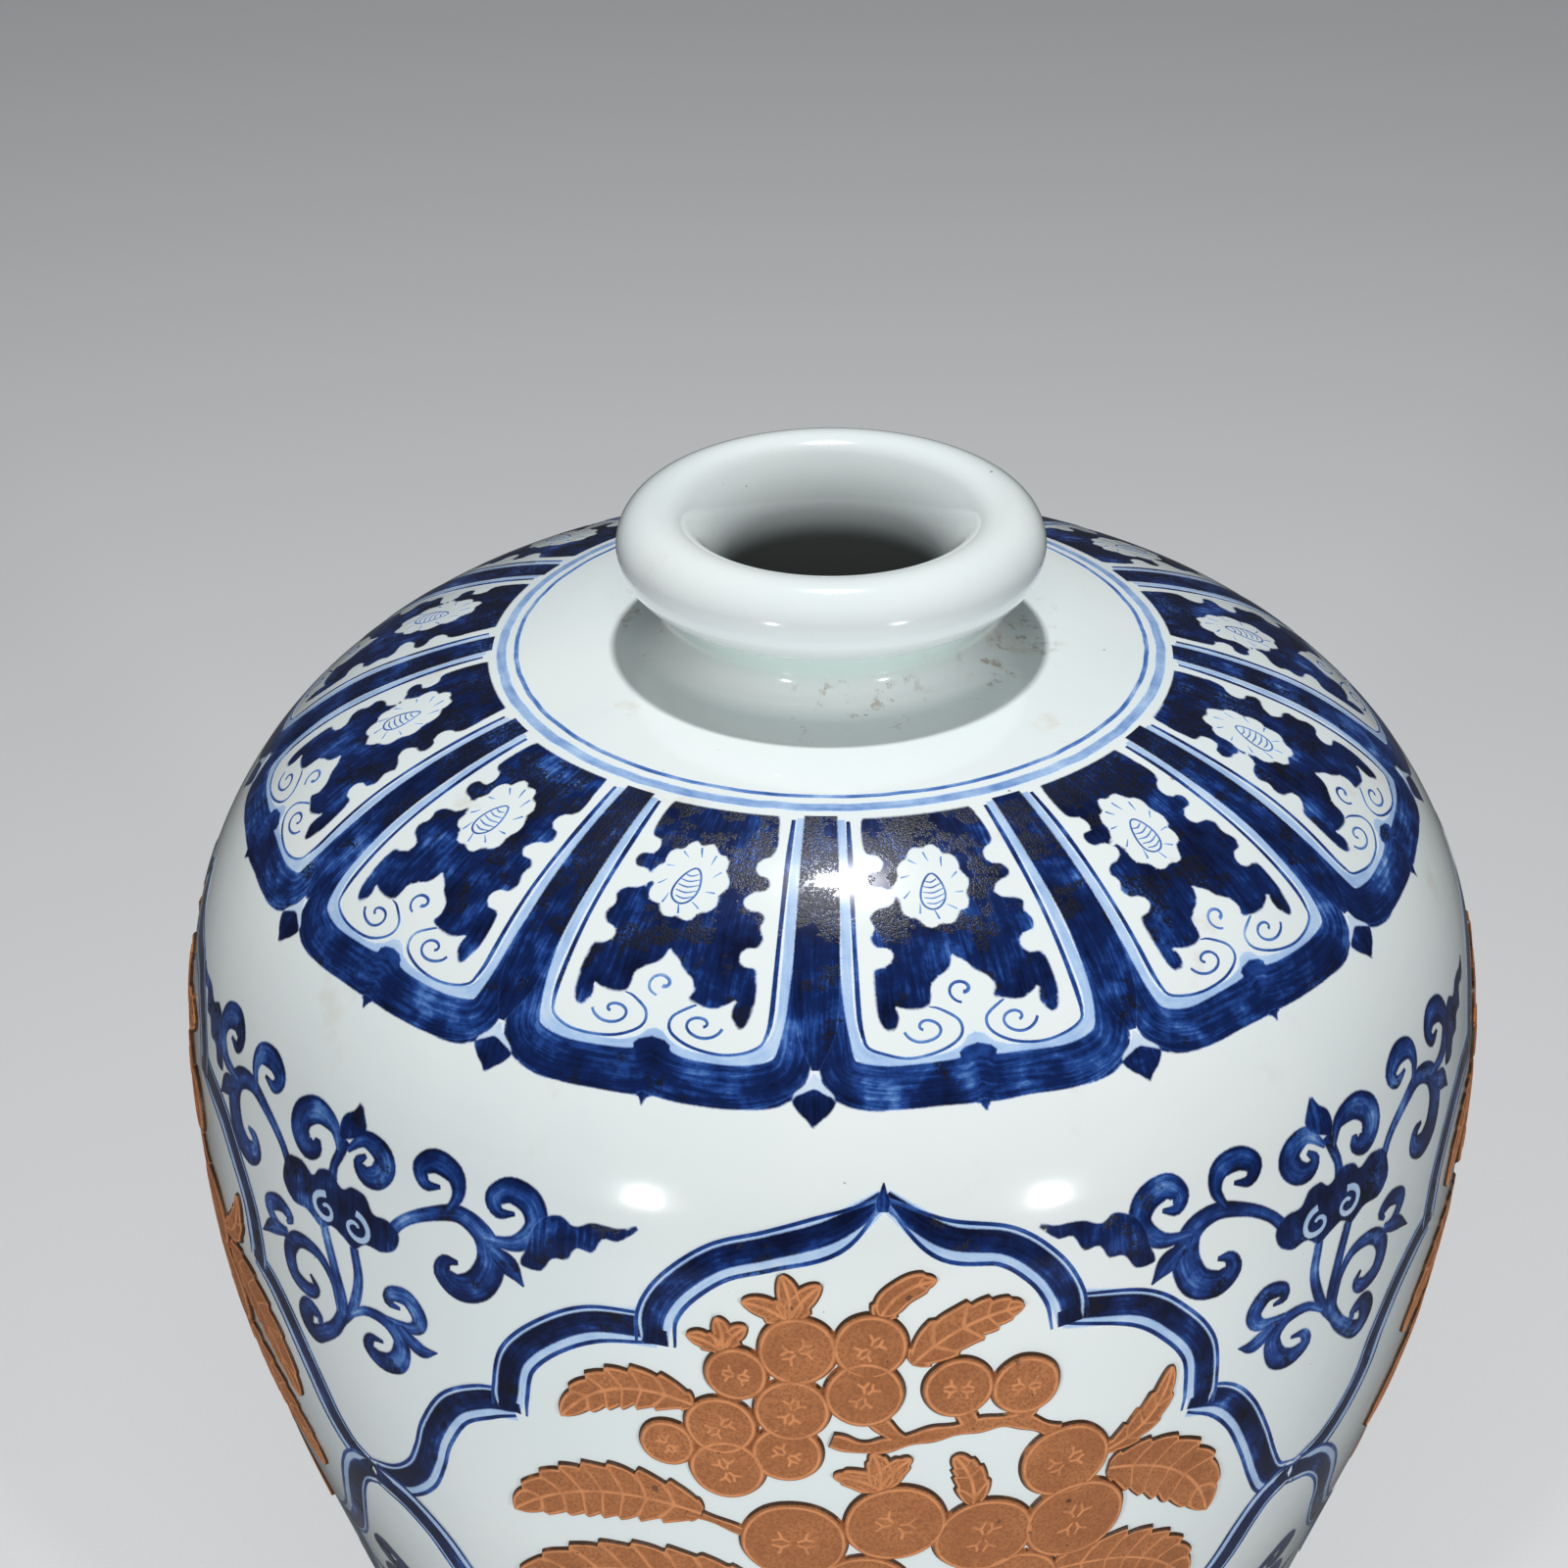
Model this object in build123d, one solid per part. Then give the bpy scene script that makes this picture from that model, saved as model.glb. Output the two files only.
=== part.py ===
from build123d import *
import os
from math import acos, asin, atan, atan2, ceil, cos, degrees, pi, radians, sin, sqrt, tan

# Meiping vase, made as the real one is: porcelain sections thrown on the wheel and luted on one
# axis, with moulded sprigs of fruit laid on the body in four panels. The sprigs stay unglazed.
# Millimetres. Z is the axis, the foot rests on z = 0 and the front panel faces -Y.

# Outline of the body, from the foot up
foot_radius = 90.0
foot_edge = 5.0
foot_bevel = 1.5
waist_radius = 84.0
flare_rise = 39.0
belly_radius = 150.5
body_rise = 281.0
shoulder_rise = 98.4
taper_share = 1.4
lower_curve_share = 0.57
haunch_curve_share = 1.89
haunch_turn = radians(9.2)
dome_turn = radians(64.7)
shoulder_turn = radians(88.0)

# Walls and foot ring. The unseen hollow has straight runs that leave its curve by hollow_sag.
wall = 7.0
hollow_sag = 1.2
floor_thickness = 12.0
foot_recess = 6.0
foot_ring_width = 13.0
foot_ring_slope = 3.0

# Neck and rolled mouth
throat_radius = 26.0
neck_wall = 11.0
neck_fillet = 8.0
neck_rise = 22.4
roll_radius = 9.2
roll_overhang = 11.1
throat_turn = radians(45.0)

# Luting seams of the thrown sections, measured up from the waist and down from the belly
foot_seam_rise = 30.0
lower_seam_drop = 128.0

# Painted panels that hold the sprigs, one to a quarter turn. What is pressed for a panel keeps its
# own proportions, so widths and sprigs follow the panel's height.
panel_half_rise = 106.0
panel_drop = 63.0
panel_width_share = 1.078
panel_half_turn = panel_width_share * panel_half_rise / belly_radius
fruit_share = 0.0943
fruit_radius = fruit_share * panel_half_rise
leaf_share = 0.16
leaf_width = leaf_share * panel_half_rise
stem_share = 0.034
stem_width = stem_share * panel_half_rise

# Moulded sprigs: relief, the slip under them and between neighbours, and the layer they are cut
# from, a quarter round the front that ends on the dome at layer_turn
fruit_relief = 1.6
leaf_relief = 1.1
slip_gap = 0.1
sprig_gap = 0.25
layer_sag = 0.3
layer_turn = radians(26.0)
layer_start = 135.0
layer_sweep = 90.0
prism_reach = 12.0
leaf_teeth = 4
tooth_depth_share = 0.13
leaf_fullness_share = 0.8
sepal_width_share = 0.45

# The sprigs of one panel, each a piece pressed in its own mould. Places are across and up, as
# shares of the panel's half width and half height, and every other share is of the size named.
#   fruits: place, radius as a share of fruit_radius
#   crowns: place of the foot, reach as a share of fruit_radius
#   leaves: base, tip, width as a share of leaf_width, upward bow as a share of the length
#   twigs:  runs of places
sprig_shares = {
    "upper_fruits": {
        "fruits": [
            (-0.17, 0.63, 0.68), (-0.06, 0.69, 0.82), (0.07, 0.70, 0.77), (-0.07, 0.55, 0.79),
            (0.06, 0.59, 0.83), (-0.20, 0.50, 0.76), (-0.30, 0.44, 0.60), (-0.19, 0.39, 0.80),
            (-0.08, 0.44, 0.75),
        ],
        "crowns": [(-0.195, 0.665, 0.80), (-0.075, 0.745, 1.05)],
    },
    "fruit_pair": {"fruits": [(0.23, 0.59, 0.75), (0.355, 0.575, 0.74)]},
    "lower_fruits": {
        "fruits": [
            (0.44, 0.36, 0.99), (0.12, 0.25, 1.09), (-0.07, 0.20, 1.13), (0.29, 0.19, 1.09),
            (0.47, 0.19, 1.14), (0.06, 0.06, 1.05), (0.36, 0.03, 1.00), (0.22, -0.08, 1.02),
        ],
        "crowns": [(0.09, 0.325, 1.05)],
        "leaves": [(0.265, 0.27, 0.225, 0.415, 0.42, 0.10), (0.51, 0.36, 0.65, 0.525, 0.42, -0.16)],
    },
    "upper_leaf": {"leaves": [(-0.27, 0.545, -0.50, 0.46, 0.62, 0.20)]},
    "top_leaf": {"leaves": [(0.155, 0.665, 0.345, 0.755, 0.66, 0.10)]},
    "broad_leaf": {
        "leaves": [(-0.24, 0.26, -0.63, 0.15, 1.00, 0.16)],
        "twigs": [[(-0.15, 0.215), (-0.26, 0.262)]],
    },
    "long_leaf": {"leaves": [(-0.13, 0.04, -0.66, -0.10, 1.05, 0.16)]},
    "folded_leaf": {"leaves": [(0.53, 0.31, 0.78, 0.075, 1.05, 0.16)]},
    "drooping_leaf": {"leaves": [(0.44, 0.045, 0.77, -0.14, 1.10, 0.16)]},
    "branch": {
        "twigs": [
            [(0.0, 0.475), (0.07, 0.455), (0.19, 0.48), (0.33, 0.49), (0.42, 0.44)],
            [(0.24, 0.525), (0.26, 0.485)],
            [(0.37, 0.515), (0.34, 0.485)],
            [(0.075, 0.52), (0.13, 0.465)],
        ],
    },
    "stalk": {
        "fruits": [(-0.22, -0.42, 0.86), (-0.355, -0.36, 0.80)],
        "leaves": [
            (0.09, -0.28, 0.54, -0.42, 1.00, 0.14),
            (0.10, -0.25, -0.36, -0.22, 0.80, 0.14),
            (0.0, -0.50, 0.32, -0.68, 0.85, 0.14),
        ],
        "twigs": [
            [(0.15, -0.15), (0.08, -0.30), (0.02, -0.46), (-0.02, -0.68)],
            [(0.03, -0.44), (-0.14, -0.43)],
        ],
    },
}
# Turns of a crown's sepals from straight up
crown_turns = [radians(68), radians(10), radians(-38)]

# Heights and radii of the outline's main points
waist_height = foot_edge + flare_rise
belly_height = waist_height + body_rise
shoulder_height = belly_height + shoulder_rise
neck_radius = throat_radius + neck_wall
shoulder_end_radius = neck_radius + neck_fillet * (1 - cos(shoulder_turn))
roll_height = shoulder_height + neck_rise
roll_centre_radius = neck_radius + roll_overhang - roll_radius
panel_height = belly_height - panel_drop
floor_height = foot_recess + floor_thickness


# A stretch of the outline is an arc: centre, signed radius and the headings that it turns
# between, from straight up towards the axis. A minus radius has its centre outside the vase.
def arc_from(point, radius, start, end):
    return point[0] - radius * cos(start), point[1] - radius * sin(start), radius, start, end


def point_on(stretch, heading, offset=0.0):
    r, z, radius = stretch[:3]
    return r + (radius + offset) * cos(heading), z + (radius + offset) * sin(heading)


# The flared foot and the concave waist, up to the straight taper
def foot_stretches(taper, waist_curve):
    flare = foot_radius - waist_radius
    turn = 2 * atan(flare / flare_rise)
    curve = (flare**2 + flare_rise**2) / (2 * flare)
    foot = arc_from((foot_radius, foot_edge), -curve, turn, 0)
    return [foot, arc_from((waist_radius, waist_height), -waist_curve, 0, -taper)]


# The domed shoulder: the radii that bring three tangent arcs from the belly to the neck
def shoulder_stretches():
    across = belly_radius - shoulder_end_radius
    a = haunch_curve_share * (1 - cos(haunch_turn)) + cos(haunch_turn) - cos(dome_turn)
    b = cos(dome_turn) - cos(shoulder_turn)
    c = haunch_curve_share * sin(haunch_turn) + sin(dome_turn) - sin(haunch_turn)
    d = sin(shoulder_turn) - sin(dome_turn)
    dome_curve = (across * d - b * shoulder_rise) / (a * d - b * c)
    top_curve = (a * shoulder_rise - c * across) / (a * d - b * c)
    haunch = arc_from((belly_radius, belly_height), haunch_curve_share * dome_curve, 0, haunch_turn)
    dome = arc_from(point_on(haunch, haunch_turn), dome_curve, haunch_turn, dome_turn)
    return [haunch, dome, arc_from(point_on(dome, dome_turn), top_curve, dome_turn, shoulder_turn)]


# The whole body from the foot's edge to the neck, with a straight taper between waist and belly
def body_stretches():
    narrowing = belly_radius - waist_radius
    taper = taper_share * atan(narrowing / body_rise)
    curves = (body_rise - narrowing / tan(taper)) / tan(taper / 2)
    foot, waist = foot_stretches(taper, (1 - lower_curve_share) * curves)
    belly_curve = lower_curve_share * curves
    belly = (belly_radius - belly_curve, belly_height, belly_curve, -taper, 0)
    return [foot, waist, belly] + shoulder_stretches()


def at(point):
    return Vector(point[0], 0, point[1])


# True arcs along stretches at an offset, with a straight run wherever two of them don't meet
def edges_along(stretches, offset=0.0):
    edges = []
    for stretch in stretches:
        start, end = stretch[3:]
        points = [at(point_on(stretch, heading, offset)) for heading in (start, (start + end) / 2, end)]
        if edges and edges[-1] @ 1 != points[0]:
            edges.append(Line(edges[-1] @ 1, points[0]))
        edges.append(ThreePointArc(*points))
    return edges


# Points along stretches that meet, close enough for straight runs to leave the curve by the sag
def run_points(stretches, offset, sag):
    points = [at(point_on(stretches[0], stretches[0][3], offset))]
    for stretch in stretches:
        start, end = stretch[3:]
        count = ceil(abs(end - start) / (2 * acos(1 - sag / abs(stretch[2]))))
        headings = [start + (end - start) * (i + 1) / count for i in range(count)]
        points += [at(point_on(stretch, heading, offset)) for heading in headings]
    return points


# A face in the XZ plane: the edges, closed by straight runs through the given corners
def section_face(edges, corners):
    run = Polyline([edges[-1] @ 1] + [at(corner) for corner in corners] + [edges[0] @ 0])
    return make_face(edges + [run])


def closed_face(points):
    return make_face(Polyline(points, close=True))


def turned(face):
    return revolve(face, Axis.Z, 360).solid()


def between(solid, low, high):
    if low is not None:
        solid = split(solid, Plane.XY.offset(low), keep=Keep.TOP)
    if high is not None:
        solid = split(solid, Plane.XY.offset(high), keep=Keep.BOTTOM)
    return solid


# Body without neck: outer form less the hollow, the throat and the recess inside the foot ring
def thrown_body():
    stretches = body_stretches()
    corners = [(0, shoulder_height), (0, 0), (foot_radius - foot_bevel, 0), (foot_radius, foot_bevel)]
    outer = turned(section_face(edges_along(stretches), corners))
    inner = run_points(stretches[:2], -wall, hollow_sag) + run_points(stretches[2:], -wall, hollow_sag)
    hollow = turned(closed_face(inner + [Vector(0, 0, inner[-1].Z), Vector(0, 0, inner[0].Z)]))
    ring_inner = foot_radius - foot_ring_width
    recess_corners = [(0, 0), (ring_inner, 0), (ring_inner - foot_ring_slope, foot_recess), (0, foot_recess)]
    recess = turned(closed_face([at(corner) for corner in recess_corners]))
    throat = Pos(0, 0, belly_height) * Cylinder(
        throat_radius, shoulder_rise + wall, align=(Align.CENTER, Align.CENTER, Align.MIN)
    )
    return outer - between(hollow, floor_height, None) - recess - throat


# Neck and rolled mouth, thrown as one piece: the roll starts where it meets the neck
def neck_and_mouth():
    neck_start = (shoulder_end_radius, shoulder_height)
    neck = arc_from(neck_start, -neck_fillet, shoulder_turn, 0)
    roll_start = -acos((neck_radius - roll_centre_radius) / roll_radius)
    throat_end = radians(180)
    roll = (roll_centre_radius, roll_height, roll_radius, roll_start, throat_end - throat_turn)
    step = roll_centre_radius - throat_radius
    throat_curve = (step - roll_radius * cos(throat_turn)) / (1 - cos(throat_turn))
    into_throat = arc_from(point_on(roll, roll[4]), throat_curve, throat_end - throat_turn, throat_end)
    return turned(section_face(edges_along([neck, roll, into_throat]), [(throat_radius, shoulder_height)]))


# Where the outline stands at a height: its radius and its heading
def outline_at(height):
    below = None
    for stretch in body_stretches():
        start, end = point_on(stretch, stretch[3]), point_on(stretch, stretch[4])
        if below and below[1] <= height < start[1]:
            share = (height - below[1]) / (start[1] - below[1])
            return below[0] + share * (start[0] - below[0]), stretch[3]
        if height <= end[1]:
            heading = asin((height - stretch[1]) / stretch[2])
            return point_on(stretch, heading)[0], heading
        below = end
    raise ValueError("the height is above the shoulder")


# A plane that lies on the body at a place in the front panel, X to the right and Y up the wall
def panel_plane(across, up):
    height = panel_height + up * panel_half_rise
    turn = across * panel_half_turn
    radius, heading = outline_at(height)
    origin = Vector(radius * sin(turn), -radius * cos(turn), height)
    normal = Vector(cos(heading) * sin(turn), -cos(heading) * cos(turn), sin(heading))
    return Plane(origin=origin, x_dir=Vector(cos(turn), sin(turn), 0), z_dir=normal)


# A place of the panel in a plane's own flat coordinates
def in_plane(plane, across, up):
    local = plane.to_local_coords(panel_plane(across, up).origin)
    return Vector(local.X, local.Y, 0)


def all_of(sketches):
    return sketches[0] + sketches[1:] if len(sketches) > 1 else sketches[0]


def prism(plane, sketch):
    return extrude(plane * sketch, amount=prism_reach, both=True)


def fruit_sketches(plane, shares, gap=0.0):
    return [Pos(in_plane(plane, x, y)) * Circle(size * fruit_radius + gap) for x, y, size in shares]


# A pointed leaf with teeth along both sides of a bowed midrib
def leaf_sketch(base, tip, width, bow_share, teeth):
    along = tip - base
    side = Vector(-along.Y, along.X, 0)
    steps = 2 * teeth
    sides = {1: [], -1: []}
    for hand, points in sides.items():
        for i in range(1, steps):
            t = i / steps
            centre = base + along * t + side * (4 * bow_share * t * (1 - t))
            half = width / 2 * sqrt(sin(pi * t**leaf_fullness_share))
            depth = tooth_depth_share if i % 2 else 0
            points.append(centre + side.normalized() * (hand * half * (1 - depth)))
    return closed_face([base] + sides[1] + [tip] + sides[-1][::-1])


# A leaf that points left has its left under it, so its bow is turned over to stay on top
def leaf(plane, x0, y0, x1, y1, width_share, bow_share):
    base, tip = in_plane(plane, x0, y0), in_plane(plane, x1, y1)
    upward_share = bow_share if x1 > x0 else -bow_share
    return leaf_sketch(base, tip, width_share * leaf_width, upward_share, leaf_teeth)


# A crown of sepals: plain pointed leaves that fan out from one foot
def crown(plane, x, y, reach_share):
    foot = in_plane(plane, x, y)
    reach = reach_share * fruit_radius
    tips = [foot + Vector(-reach * sin(turn), reach * cos(turn), 0) for turn in crown_turns]
    return all_of([leaf_sketch(foot, tip, sepal_width_share * reach, 0, 1) for tip in tips])


# A twig: straight runs with round ends, so that the next run or a fruit meets it at any turn
def twig(plane, places):
    points = [in_plane(plane, x, y) for x, y in places]
    runs = []
    for start, end in zip(points, points[1:]):
        run = end - start
        bar = SlotCenterToCenter(run.length, stem_width)
        runs.append(Pos((start + end) / 2) * Rot(0, 0, degrees(atan2(run.Y, run.X))) * bar)
    return all_of(runs)


# A layer over the front quarter that sprigs are cut from: it clears the body by the slip.
# Its runs cut inside the curve by layer_sag, so it stands that much further out.
def sprig_layer(inside, outside):
    waist, belly, haunch, dome = body_stretches()[1:5]
    stretches = [belly, haunch, dome[:4] + (layer_turn,)]
    sides = []
    for relief in (inside, outside):
        offset = slip_gap + layer_sag + relief
        sides.append([at(point_on(waist, waist[4], offset))] + run_points(stretches, offset, layer_sag))
    return revolve(Rot(0, 0, -layer_start) * closed_face(sides[0] + sides[1][::-1]), Axis.Z, layer_sweep)


# The plane that a sprig is pressed in: on the body at the middle of its places
def sprig_plane(shares):
    places = [entry[:2] for entry in shares.get("fruits", []) + shares.get("crowns", [])]
    places += [end for entry in shares.get("leaves", []) for end in (entry[:2], entry[2:4])]
    places += [place for run in shares.get("twigs", []) for place in run]
    return panel_plane(sum(x for x, y in places) / len(places), sum(y for x, y in places) / len(places))


# One sprig of the front panel: its leaves and twigs stand lower than its fruits, and all of it
# keeps sprig_gap from the fruits of the other sprigs
def sprig(name, fruit_layer, leaf_layer, over_leaves):
    shares = sprig_shares[name]
    plane = sprig_plane(shares)
    fruits = fruit_sketches(plane, shares.get("fruits", []))
    low = [leaf(plane, *entry) for entry in shares.get("leaves", [])]
    low += [crown(plane, *entry) for entry in shares.get("crowns", [])]
    low += [twig(plane, places) for places in shares.get("twigs", [])]
    whole = (fruit_layer if fruits else leaf_layer) & prism(plane, all_of(fruits + low))
    if fruits and low:
        field = Rectangle(2 * panel_half_rise, 2 * panel_half_rise)
        whole -= over_leaves & prism(plane, field - fruits)
    for other, entry in sprig_shares.items():
        if other != name and "fruits" in entry:
            other_plane = sprig_plane(entry)
            whole -= prism(other_plane, all_of(fruit_sketches(other_plane, entry["fruits"], sprig_gap)))
    return whole


# The thrown sections, then the sprigs of the front panel and their copies round the other three
os.makedirs("parts", exist_ok=True)
body = thrown_body()
foot_seam = waist_height + foot_seam_rise
lower_seam = belly_height - lower_seam_drop
nodes = {
    "foot_section": between(body, None, foot_seam),
    "lower_body": between(body, foot_seam, lower_seam),
    "belly_section": between(body, lower_seam, belly_height),
    "shoulder_section": between(body, belly_height, None),
    "neck_and_mouth": neck_and_mouth(),
}
fruit_layer, leaf_layer = sprig_layer(0, fruit_relief), sprig_layer(0, leaf_relief)
over_leaves = sprig_layer(leaf_relief, 2 * fruit_relief)
for name in sprig_shares:
    piece = sprig(name, fruit_layer, leaf_layer, over_leaves)
    for quarter, panel in enumerate(["front", "right", "back", "left"]):
        nodes[f"{panel}_{name}"] = Rot(0, 0, 90 * quarter) * piece
for name, shape in nodes.items():
    export_step(shape, f"parts/{name}.step")
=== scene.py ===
from math import atan, atan2, ceil, cos, pi, radians, sin, tan

import bpy
import numpy as np
from mathutils import Matrix, Vector, noise
from mathutils.geometry import delaunay_2d_cdt


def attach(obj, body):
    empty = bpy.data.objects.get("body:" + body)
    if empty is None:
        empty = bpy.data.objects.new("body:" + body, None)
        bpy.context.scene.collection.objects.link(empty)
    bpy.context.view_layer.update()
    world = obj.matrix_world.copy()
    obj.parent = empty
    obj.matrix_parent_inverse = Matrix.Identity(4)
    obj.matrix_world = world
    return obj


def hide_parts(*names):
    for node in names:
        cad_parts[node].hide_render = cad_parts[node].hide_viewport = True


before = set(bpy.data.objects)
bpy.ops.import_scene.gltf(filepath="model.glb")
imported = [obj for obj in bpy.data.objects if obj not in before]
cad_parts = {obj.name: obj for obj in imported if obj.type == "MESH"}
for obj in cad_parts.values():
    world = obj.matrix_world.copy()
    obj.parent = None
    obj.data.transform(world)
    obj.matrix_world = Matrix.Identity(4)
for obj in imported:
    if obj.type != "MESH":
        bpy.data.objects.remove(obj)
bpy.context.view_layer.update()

# Room for the vase: a wide sheet of pale card that rises softly behind it, lit by a small lamp
# overhead, a soft box low on each side of the camera and a faint light in front. The glaze mirrors
# a dark room, not the card. Sizes in this section are metres.
card_half, card_back, card_bend, card_top = 3.0, 2.2, 0.8, 3.2


def pick(piece=None):
    """Make a piece the active and only selected one, or none."""
    if bpy.context.object and bpy.context.object.mode != "OBJECT":
        bpy.ops.object.mode_set(mode="OBJECT")
    bpy.ops.object.select_all(action="DESELECT")
    if piece:
        bpy.context.view_layer.objects.active = piece
        piece.select_set(True)


def add(name, data):
    item = bpy.data.objects.new(name, data)
    bpy.context.scene.collection.objects.link(item)
    return item


class Shade:
    """A value or colour in a material's node tree, with plain sums for its Math nodes."""

    def __init__(self, finish, socket):
        self.finish, self.socket = finish, socket

    def math(self, operation, *others):
        values = dict(enumerate((self,) + others))
        return self.finish.node("ShaderNodeMath", {"operation": operation}, values)

    def __add__(self, other):
        return self.math("ADD", other)

    def __sub__(self, other):
        return self.math("SUBTRACT", other)

    def __rsub__(self, other):
        return (self * -1) + other

    def __mul__(self, other):
        return self.math("MULTIPLY", other)

    def __gt__(self, other):
        return self.math("GREATER_THAN", other)

    __radd__, __rmul__ = __add__, __mul__

    def between(self, low, high):
        values = {"Value": self, "From Min": low, "From Max": high}
        return self.finish.node("ShaderNodeMapRange", {"interpolation_type": "SMOOTHSTEP"}, values)


class Finish:
    """A material whose nodes are added one call at a time."""

    def __init__(self, name):
        self.material = bpy.data.materials.new(name)
        self.material.use_nodes = True
        self.tree = self.material.node_tree
        self.shader = self.tree.nodes["Principled BSDF"]
        self.place = self.node("ShaderNodeTexCoord", {}, {}, "Object")

    def node(self, kind, settings, values, out=0):
        node = self.tree.nodes.new(kind)
        for key, value in settings.items():
            setattr(node, key, value)
        for key, value in values.items():
            self.feed(node.inputs[key], value)
        return Shade(self, node.outputs[out])

    def feed(self, socket, value):
        if isinstance(value, Shade):
            self.tree.links.new(value.socket, socket)
        else:
            socket.default_value = value

    def set(self, **values):
        for key, value in values.items():
            self.feed(self.shader.inputs[key.replace("_", " ")], value)

    def attribute(self, name):
        return self.node("ShaderNodeAttribute", {"attribute_name": name}, {}, "Fac")

    def grain(self, scale, detail=2.0, where=None, rough=0.5):
        values = {"Vector": where or self.place, "Scale": scale, "Detail": detail, "Roughness": rough}
        return self.node("ShaderNodeTexNoise", {}, values)

    def blend(self, share, low, high):
        inputs = {0: share, 6: low, 7: high}
        return self.node("ShaderNodeMix", {"data_type": "RGBA"}, inputs, 2)

    def bump(self, height, strength, distance):
        values = {"Height": height, "Strength": strength, "Distance": distance}
        return self.node("ShaderNodeBump", {}, values)


pick()
bpy.ops.mesh.primitive_plane_add(size=2 * card_half)
card = bpy.context.object
card.name = "card"
bpy.ops.object.mode_set(mode="EDIT")
bpy.ops.mesh.subdivide(number_cuts=60)
bpy.ops.object.mode_set(mode="OBJECT")
for vertex in card.data.vertices:
    past = vertex.co.y - card_back
    if past > 0:
        turn = min(past / card_bend, pi / 2)
        vertex.co.y = card_back + card_bend * sin(turn)
        vertex.co.z = card_bend * (1 - cos(turn)) + max(0, past - card_bend * pi / 2) * card_top
bpy.ops.object.shade_smooth()
card_finish = Finish("pale card")
fibre = card_finish.grain(900, 3)
mirrored = card_finish.node("ShaderNodeLightPath", {}, {}, "Is Glossy Ray")
paper = card_finish.blend(fibre, (0.76, 0.77, 0.78, 1), (0.82, 0.83, 0.84, 1))
card_finish.set(Base_Color=card_finish.blend(mirrored, paper, (0.10, 0.10, 0.105, 1)), Roughness=0.9)
card_finish.set(Normal=card_finish.bump(fibre, 0.1, 0.0002))
card.data.materials.append(card_finish.material)

world = bpy.data.worlds.new("studio")
bpy.context.scene.world = world
world.use_nodes = True
room_light, room_light_mirrored = 0.20, 0.04
room = world.node_tree
room.nodes["Background"].inputs["Color"].default_value = (0.94, 0.96, 1.0, 1)
room_path = room.nodes.new("ShaderNodeLightPath")
dimmer = room.nodes.new("ShaderNodeMapRange")
dimmer.inputs["To Min"].default_value = room_light
dimmer.inputs["To Max"].default_value = room_light_mirrored
room.links.new(room_path.outputs["Is Glossy Ray"], dimmer.inputs["Value"])
room.links.new(dimmer.outputs["Result"], room.nodes["Background"].inputs["Strength"])


def lamp(name, place, target, size, power, in_glaze=True):
    data = bpy.data.lights.new(name, "AREA")
    data.shape, data.size, data.size_y, data.energy = "RECTANGLE", size[0], size[1], power
    holder = add(name, data)
    holder.location = place
    holder.visible_glossy = in_glaze
    holder.rotation_euler = (Vector(target) - Vector(place)).to_track_quat("-Z", "Y").to_euler()


lamp("overhead", (0.02, 0.30, 1.75), (0, 0, 0.4), (0.10, 0.05), 15.5)
lamp("front fill", (0, -0.95, 1.45), (0, 0, 0.42), (0.4, 0.4), 2.6, in_glaze=False)
lamp("left box", (-0.77, -1.38, 0.49), (0, 0, 0.33), (0.10, 0.055), 7.2)
lamp("right box", (0.88, -1.31, 0.46), (0, 0, 0.33), (0.10, 0.055), 7.2)

camera = add("camera", bpy.data.cameras.new("camera"))
camera.data.sensor_width, camera.data.lens = 36, 90.4
look_down, look_left = radians(29.2), radians(0.684)
camera_reach, look_height = 0.9098, 0.3834
camera.location = (0, -camera_reach * cos(look_down), look_height + camera_reach * sin(look_down))
camera_turn = Matrix.Rotation(pi / 2 - look_down, 3, "X") @ Matrix.Rotation(look_left, 3, "Y")
camera.rotation_euler = camera_turn.to_euler()
bpy.context.scene.camera = camera
bpy.context.scene.view_settings.view_transform = "Standard"

# Thrown sections of the body: foot, lower body, belly and shoulder, thrown in porcelain clay on a
# wheel, luted with slip and covered by one clear glaze. Sizes are millimetres, as in the model.
mm = 0.001
wall_thickness, belly_height, shoulder_height = 7.0, 325.0, 423.4
foot_radius, foot_edge, waist_radius, waist_height = 90.0, 5.0, 84.0, 44.0
belly_radius, neck_radius, throat_radius, neck_fillet = 150.5, 37.0, 26.0, 8.0
haunch_turn, dome_turn, shoulder_turn = radians(9.2), radians(64.7), radians(88)
taper_share, lower_curve_share, haunch_curve_share = 1.4, 0.57, 1.89
shoulder_end_radius = neck_radius + neck_fillet * (1 - cos(shoulder_turn))
belly_mark = 330.5
low_seam, mid_seam, belly_seam = 74.0, 197.0, belly_height
round_steps, outer_step, inner_step = 180, 4, 12


def arc_points(r, z, radius, start, end, step=0.5):
    """Radius, height and heading along an arc that starts at r, z."""
    count = max(2, ceil(abs(radius * (end - start)) / step))
    heading = np.linspace(start, end, count + 1)
    across = r + radius * (np.cos(heading) - cos(start))
    return np.column_stack([across, z + radius * (np.sin(heading) - sin(start)), heading])


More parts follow.
